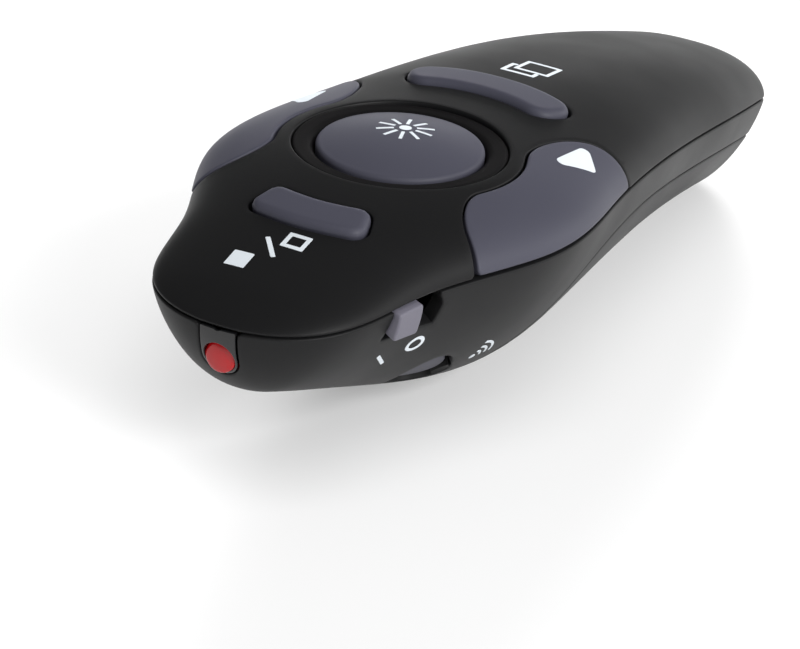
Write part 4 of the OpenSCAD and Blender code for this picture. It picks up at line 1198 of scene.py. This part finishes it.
# %% Wire, thread and heads
wound, size = new_rule("wound_cone", Turns="Float", Wire="Float", Wide="Float", Narrow="Float",
                       Rise="Float")
wire = wound_wire(wound, 40, 14, size["Wire"], size["Turns"], size["Wide"], size["Narrow"],
                  size["Rise"])
end_rule(wound, (wire,), nickel)
CELL_X, CELL_Z, CELL_LENGTH = 5.25, 12.85, 44.5
BATTERY_FRONT, BATTERY_REAR = -21.2, 26.9  # the tray's two inner ends
SPRING_WIRE = 0.25
for number, (x, y, way) in enumerate(((-CELL_X, BATTERY_REAR, -1), (CELL_X, BATTERY_FRONT, 1))):
    spring = follow(f"cell_spring_{number}", wound, Turns=4.0, Wire=SPRING_WIRE * MM, Wide=3.2 * MM,
                    Narrow=1.8 * MM, Rise=3.1 * MM)
    for vertex in spring.data.vertices:
        u, v, w = vertex.co / MM
        vertex.co = Vector((x + u, y + way * (w + SPRING_WIRE), CELL_Z - way * v)) * MM
    spring.data.polygons.foreach_set("use_smooth", [True] * len(spring.data.polygons))
    dress(spring, nickel, "battery_springs", "case")

# %% A screw's blank
HEAD, PAN, TIP = 1.6, 0.9, 0.7


def screw_blank(name, shaft, length):
    """Head down, with the shaft's core up to its point; the cross is cut from below."""
    core = shaft * 0.8
    rim = bend_of(HEAD - 0.55, -PAN + 0.55, 0.55, 270, 360)
    profile = [(0, -PAN), (0.9, -PAN), *rim, (HEAD, 0),
               (core, 0), (core, length - TIP), (0.12, length), (0, length)]
    blank = turned(name, profile, lambda p: p, 48)
    w, r = 0.2, 1.0
    cross = [(w, -r), (w, -w), (r, -w), (r, w), (w, w), (w, r),
             (-w, r), (-w, w), (-r, w), (-r, -w), (-w, -w), (-w, -r)]
    points = [(x, y, -PAN - 0.2) for x, y in cross]
    points += [(0.6 * x, 0.6 * y, -PAN + 0.55) for x, y in cross]
    faces = [tuple(range(11, -1, -1)), tuple(range(12, 24))]
    faces += [(k, (k + 1) % 12, 12 + (k + 1) % 12, 12 + k) for k in range(12)]
    cutter = from_arrays(name + "_cross", points, faces)
    cut = blank.modifiers.new("cross", "BOOLEAN")
    cut.object, cut.operation = cutter, "DIFFERENCE"
    settled(blank)
    bpy.data.objects.remove(cutter)
    return blank


# %% Threads, and the screws in their places
RIDGE = 0.16
for name, shaft, length, places in (
        ("shell_screws", 1.0, 5.99, [(-12.1, 3, 15.8), (12.1, 3, 15.8),
                                     (-7.2, 33.3, 10.156), (7.2, 33.3, 10.156)]),
        ("board_screws", 0.8, 3.19, [(-4.5, -33.05, 18.7), (4.5, -33.05, 18.7)])):
    blank = screw_blank(name + "_blank", shaft, length)
    screws, size = new_rule(name + "_set", Shaft="Float", Length="Float", Pitch="Float",
                            Ridge="Float")
    turns = maths(screws, "DIVIDE", size["Length"], size["Pitch"])
    thread = wound_wire(screws, 20, 4, size["Ridge"], turns, size["Shaft"], size["Shaft"],
                        size["Length"])
    seen_blank = add(screws, "GeometryNodeObjectInfo", {"Object": blank})
    one = add(screws, "GeometryNodeJoinGeometry")
    for part in (seen_blank.outputs["Geometry"], thread):
        screws.links.new(part, one.inputs[0])
    stood = add(screws, "GeometryNodeInstanceOnPoints", {},
                {"Points": size["Geometry"], "Instance": one.outputs[0]})
    end_rule(screws, (stood.outputs[0],), nickel)
    made = follow(name + "_threaded", screws, places, Shaft=(shaft - RIDGE) * MM, Ridge=RIDGE * MM,
                  Length=(length - TIP - 0.1) * MM, Pitch=0.45 * shaft * MM)
    bpy.data.objects.remove(blank)
    dress(made, nickel, name, "case")
    print(name, len(made.data.polygons), "faces")

# %% [markdown]
# ## The cells
# A AAA cell is a steel can in a shrink sleeve that grips over both rims. Its
# profile, turned about its own axis, has the sleeve's lips, the sunk steel
# end and the positive nub. The sleeve is plain: black, with a copper-coloured
# band at the positive end.

# %% Two cells, turned
# Glossy film over steel: the band starts 9 mm from the positive end
sleeve, tree = new_material("printed_shrink_sleeve")
spot = add(tree, "ShaderNodeUVMap", {"uv_map": "along"})
parts = add(tree, "ShaderNodeSeparateXYZ", {}, {0: spot.outputs[0]})
colours = add(tree, "ShaderNodeValToRGB", {}, {"Fac": parts.outputs["X"]})
ramp = colours.color_ramp
ramp.interpolation = "CONSTANT"
ramp.elements[0].color, ramp.elements[1].color = linear("#b9bab8"), linear("#b06a34")
ramp.elements[1].position = 0.03
for place, colour in ((0.24, "#131416"), (0.975, "#b9bab8")):
    ramp.elements.new(place).color = linear(colour)
shaded(tree, {"Roughness": 0.25, "IOR": 1.5, "Coat Weight": 0.4},
       {"Base Color": colours.outputs["Color"]})

cell_profile = [
    (0, 0), (1.9, 0), (2.15, 0.2), (2.2, 1.25), (3.9, 1.35), (4.3, 1.2),
    *bend_of(4.65, 1.6, 0.5, 270, 360),
    *[(5.15, z) for z in np.linspace(3, 42, 8)], *bend_of(4.65, 44.0, 0.5, 0, 90),
    (4.3, 44.4), (3.9, 44.2),
    (0, 44.2)]
for name, x, start, way in (("left_cell", -CELL_X, BATTERY_FRONT, 1),
                            ("right_cell", CELL_X, BATTERY_REAR, -1)):
    def lying(points):
        u, v, w = np.asarray(points, float).T
        return np.stack([x + u * way, start + w * way, CELL_Z + v], 1)
    cell = turned(name + "_sleeved", cell_profile, lying, 64)
    layer = cell.data.uv_layers.new(name="along")
    for loop in cell.data.loops:
        y = cell.data.vertices[loop.vertex_index].co.y / MM
        layer.data[loop.index].uv = (abs(y - start) / CELL_LENGTH, 0)
    dress(cell, sleeve, name, "case")

# %% [markdown]
# ## Floor and light
# The photograph was taken on a sweep of white paper. Here it is a plain matt
# floor. Where the camera sees it, straight or in a reflection, a share of
# plain white is mixed in, so that the ground stays white while the shadow
# stays soft. Five soft lamps stand for the studio: one from above, one low
# behind on the left, one on the right, a weak panel behind on the right and a
# long strip at the horizon. The first two light the floor but are kept out of
# reflections, or they would turn the satin black of the upper side grey. The
# other three make the wide highlights by which such a surface shows its form.

# %% The floor's paper
WHITE_SHARE = 0.3


def blend(tree, share, first, second):
    return add(tree, "ShaderNodeMixShader", {},
               {0: share, 1: first.outputs[0], 2: second.outputs[0]})


white, tree = new_material("white_paper_sweep")
paper = add(tree, "ShaderNodeBsdfDiffuse", {"Color": linear("#f4f4f4")})
glow = add(tree, "ShaderNodeEmission", {"Color": (1, 1, 1, 1), "Strength": 1.0})
ray = add(tree, "ShaderNodeLightPath").outputs
mirrored = maths(tree, "MAXIMUM", ray["Is Camera Ray"], ray["Is Glossy Ray"])
looked_at = maths(tree, "MAXIMUM", mirrored, ray["Is Transmission Ray"])
close(tree, blend(tree, maths(tree, "MULTIPLY", looked_at, WHITE_SHARE), paper, glow))

mesh = bpy.data.meshes.new("floor")
DOWN = -0.05 * MM  # clear of the belly, so the two faces don't share a plane
WIDE = 6  # metres each way
mesh.from_pydata([(x * WIDE, y * WIDE, DOWN) for x, y in ((-1, -1), (1, -1), (1, 1), (-1, 1))],
                 [], [(0, 1, 2, 3)])
floor = bpy.data.objects.new("floor", mesh)
bpy.context.collection.objects.link(floor)
floor.data.materials.append(white)

# %% World and lamps
world = bpy.data.worlds.new("studio")
world.use_nodes = True
tree = world.node_tree
tree.nodes.clear()
room = add(tree, "ShaderNodeBackground", {"Color": (1, 1, 1, 1), "Strength": 0.2})
seen_white = add(tree, "ShaderNodeBackground", {"Color": (1, 1, 1, 1), "Strength": 1.0})
ray = add(tree, "ShaderNodeLightPath").outputs
mixed = blend(tree, ray["Is Camera Ray"], room, seen_white)
add(tree, "ShaderNodeOutputWorld", {}, {"Surface": mixed.outputs[0]})
bpy.context.scene.world = world


def softbox(name, place, size, power, mirrored):
    lamp = bpy.data.lights.new(name, "AREA")
    lamp.shape, lamp.size, lamp.size_y, lamp.energy = "RECTANGLE", *size, power
    holder = bpy.data.objects.new(name, lamp)
    holder.location = place
    towards = Vector((0, 0, 0.02)) - Vector(place)
    holder.rotation_euler = towards.to_track_quat("-Z", "Y").to_euler()
    holder.visible_glossy = mirrored
    bpy.context.collection.objects.link(holder)


softbox("top_softbox", (0.3, -0.3, 1.1), (0.8, 0.8), 5.5, False)
softbox("rear_softbox", (-0.45, 0.8, 0.34), (0.4, 0.3), 14, False)
softbox("right_softbox", (0.8, -0.35, 0.5), (0.5, 0.4), 8, True)
softbox("side_panel", (0.6, 0.5, 0.32), (0.5, 0.35), 1.8, True)
softbox("horizon_softbox", (-0.1, 1.2, 0.15), (1.6, 0.2), 1.6, True)
bpy.context.scene.view_settings.view_transform = "Standard"
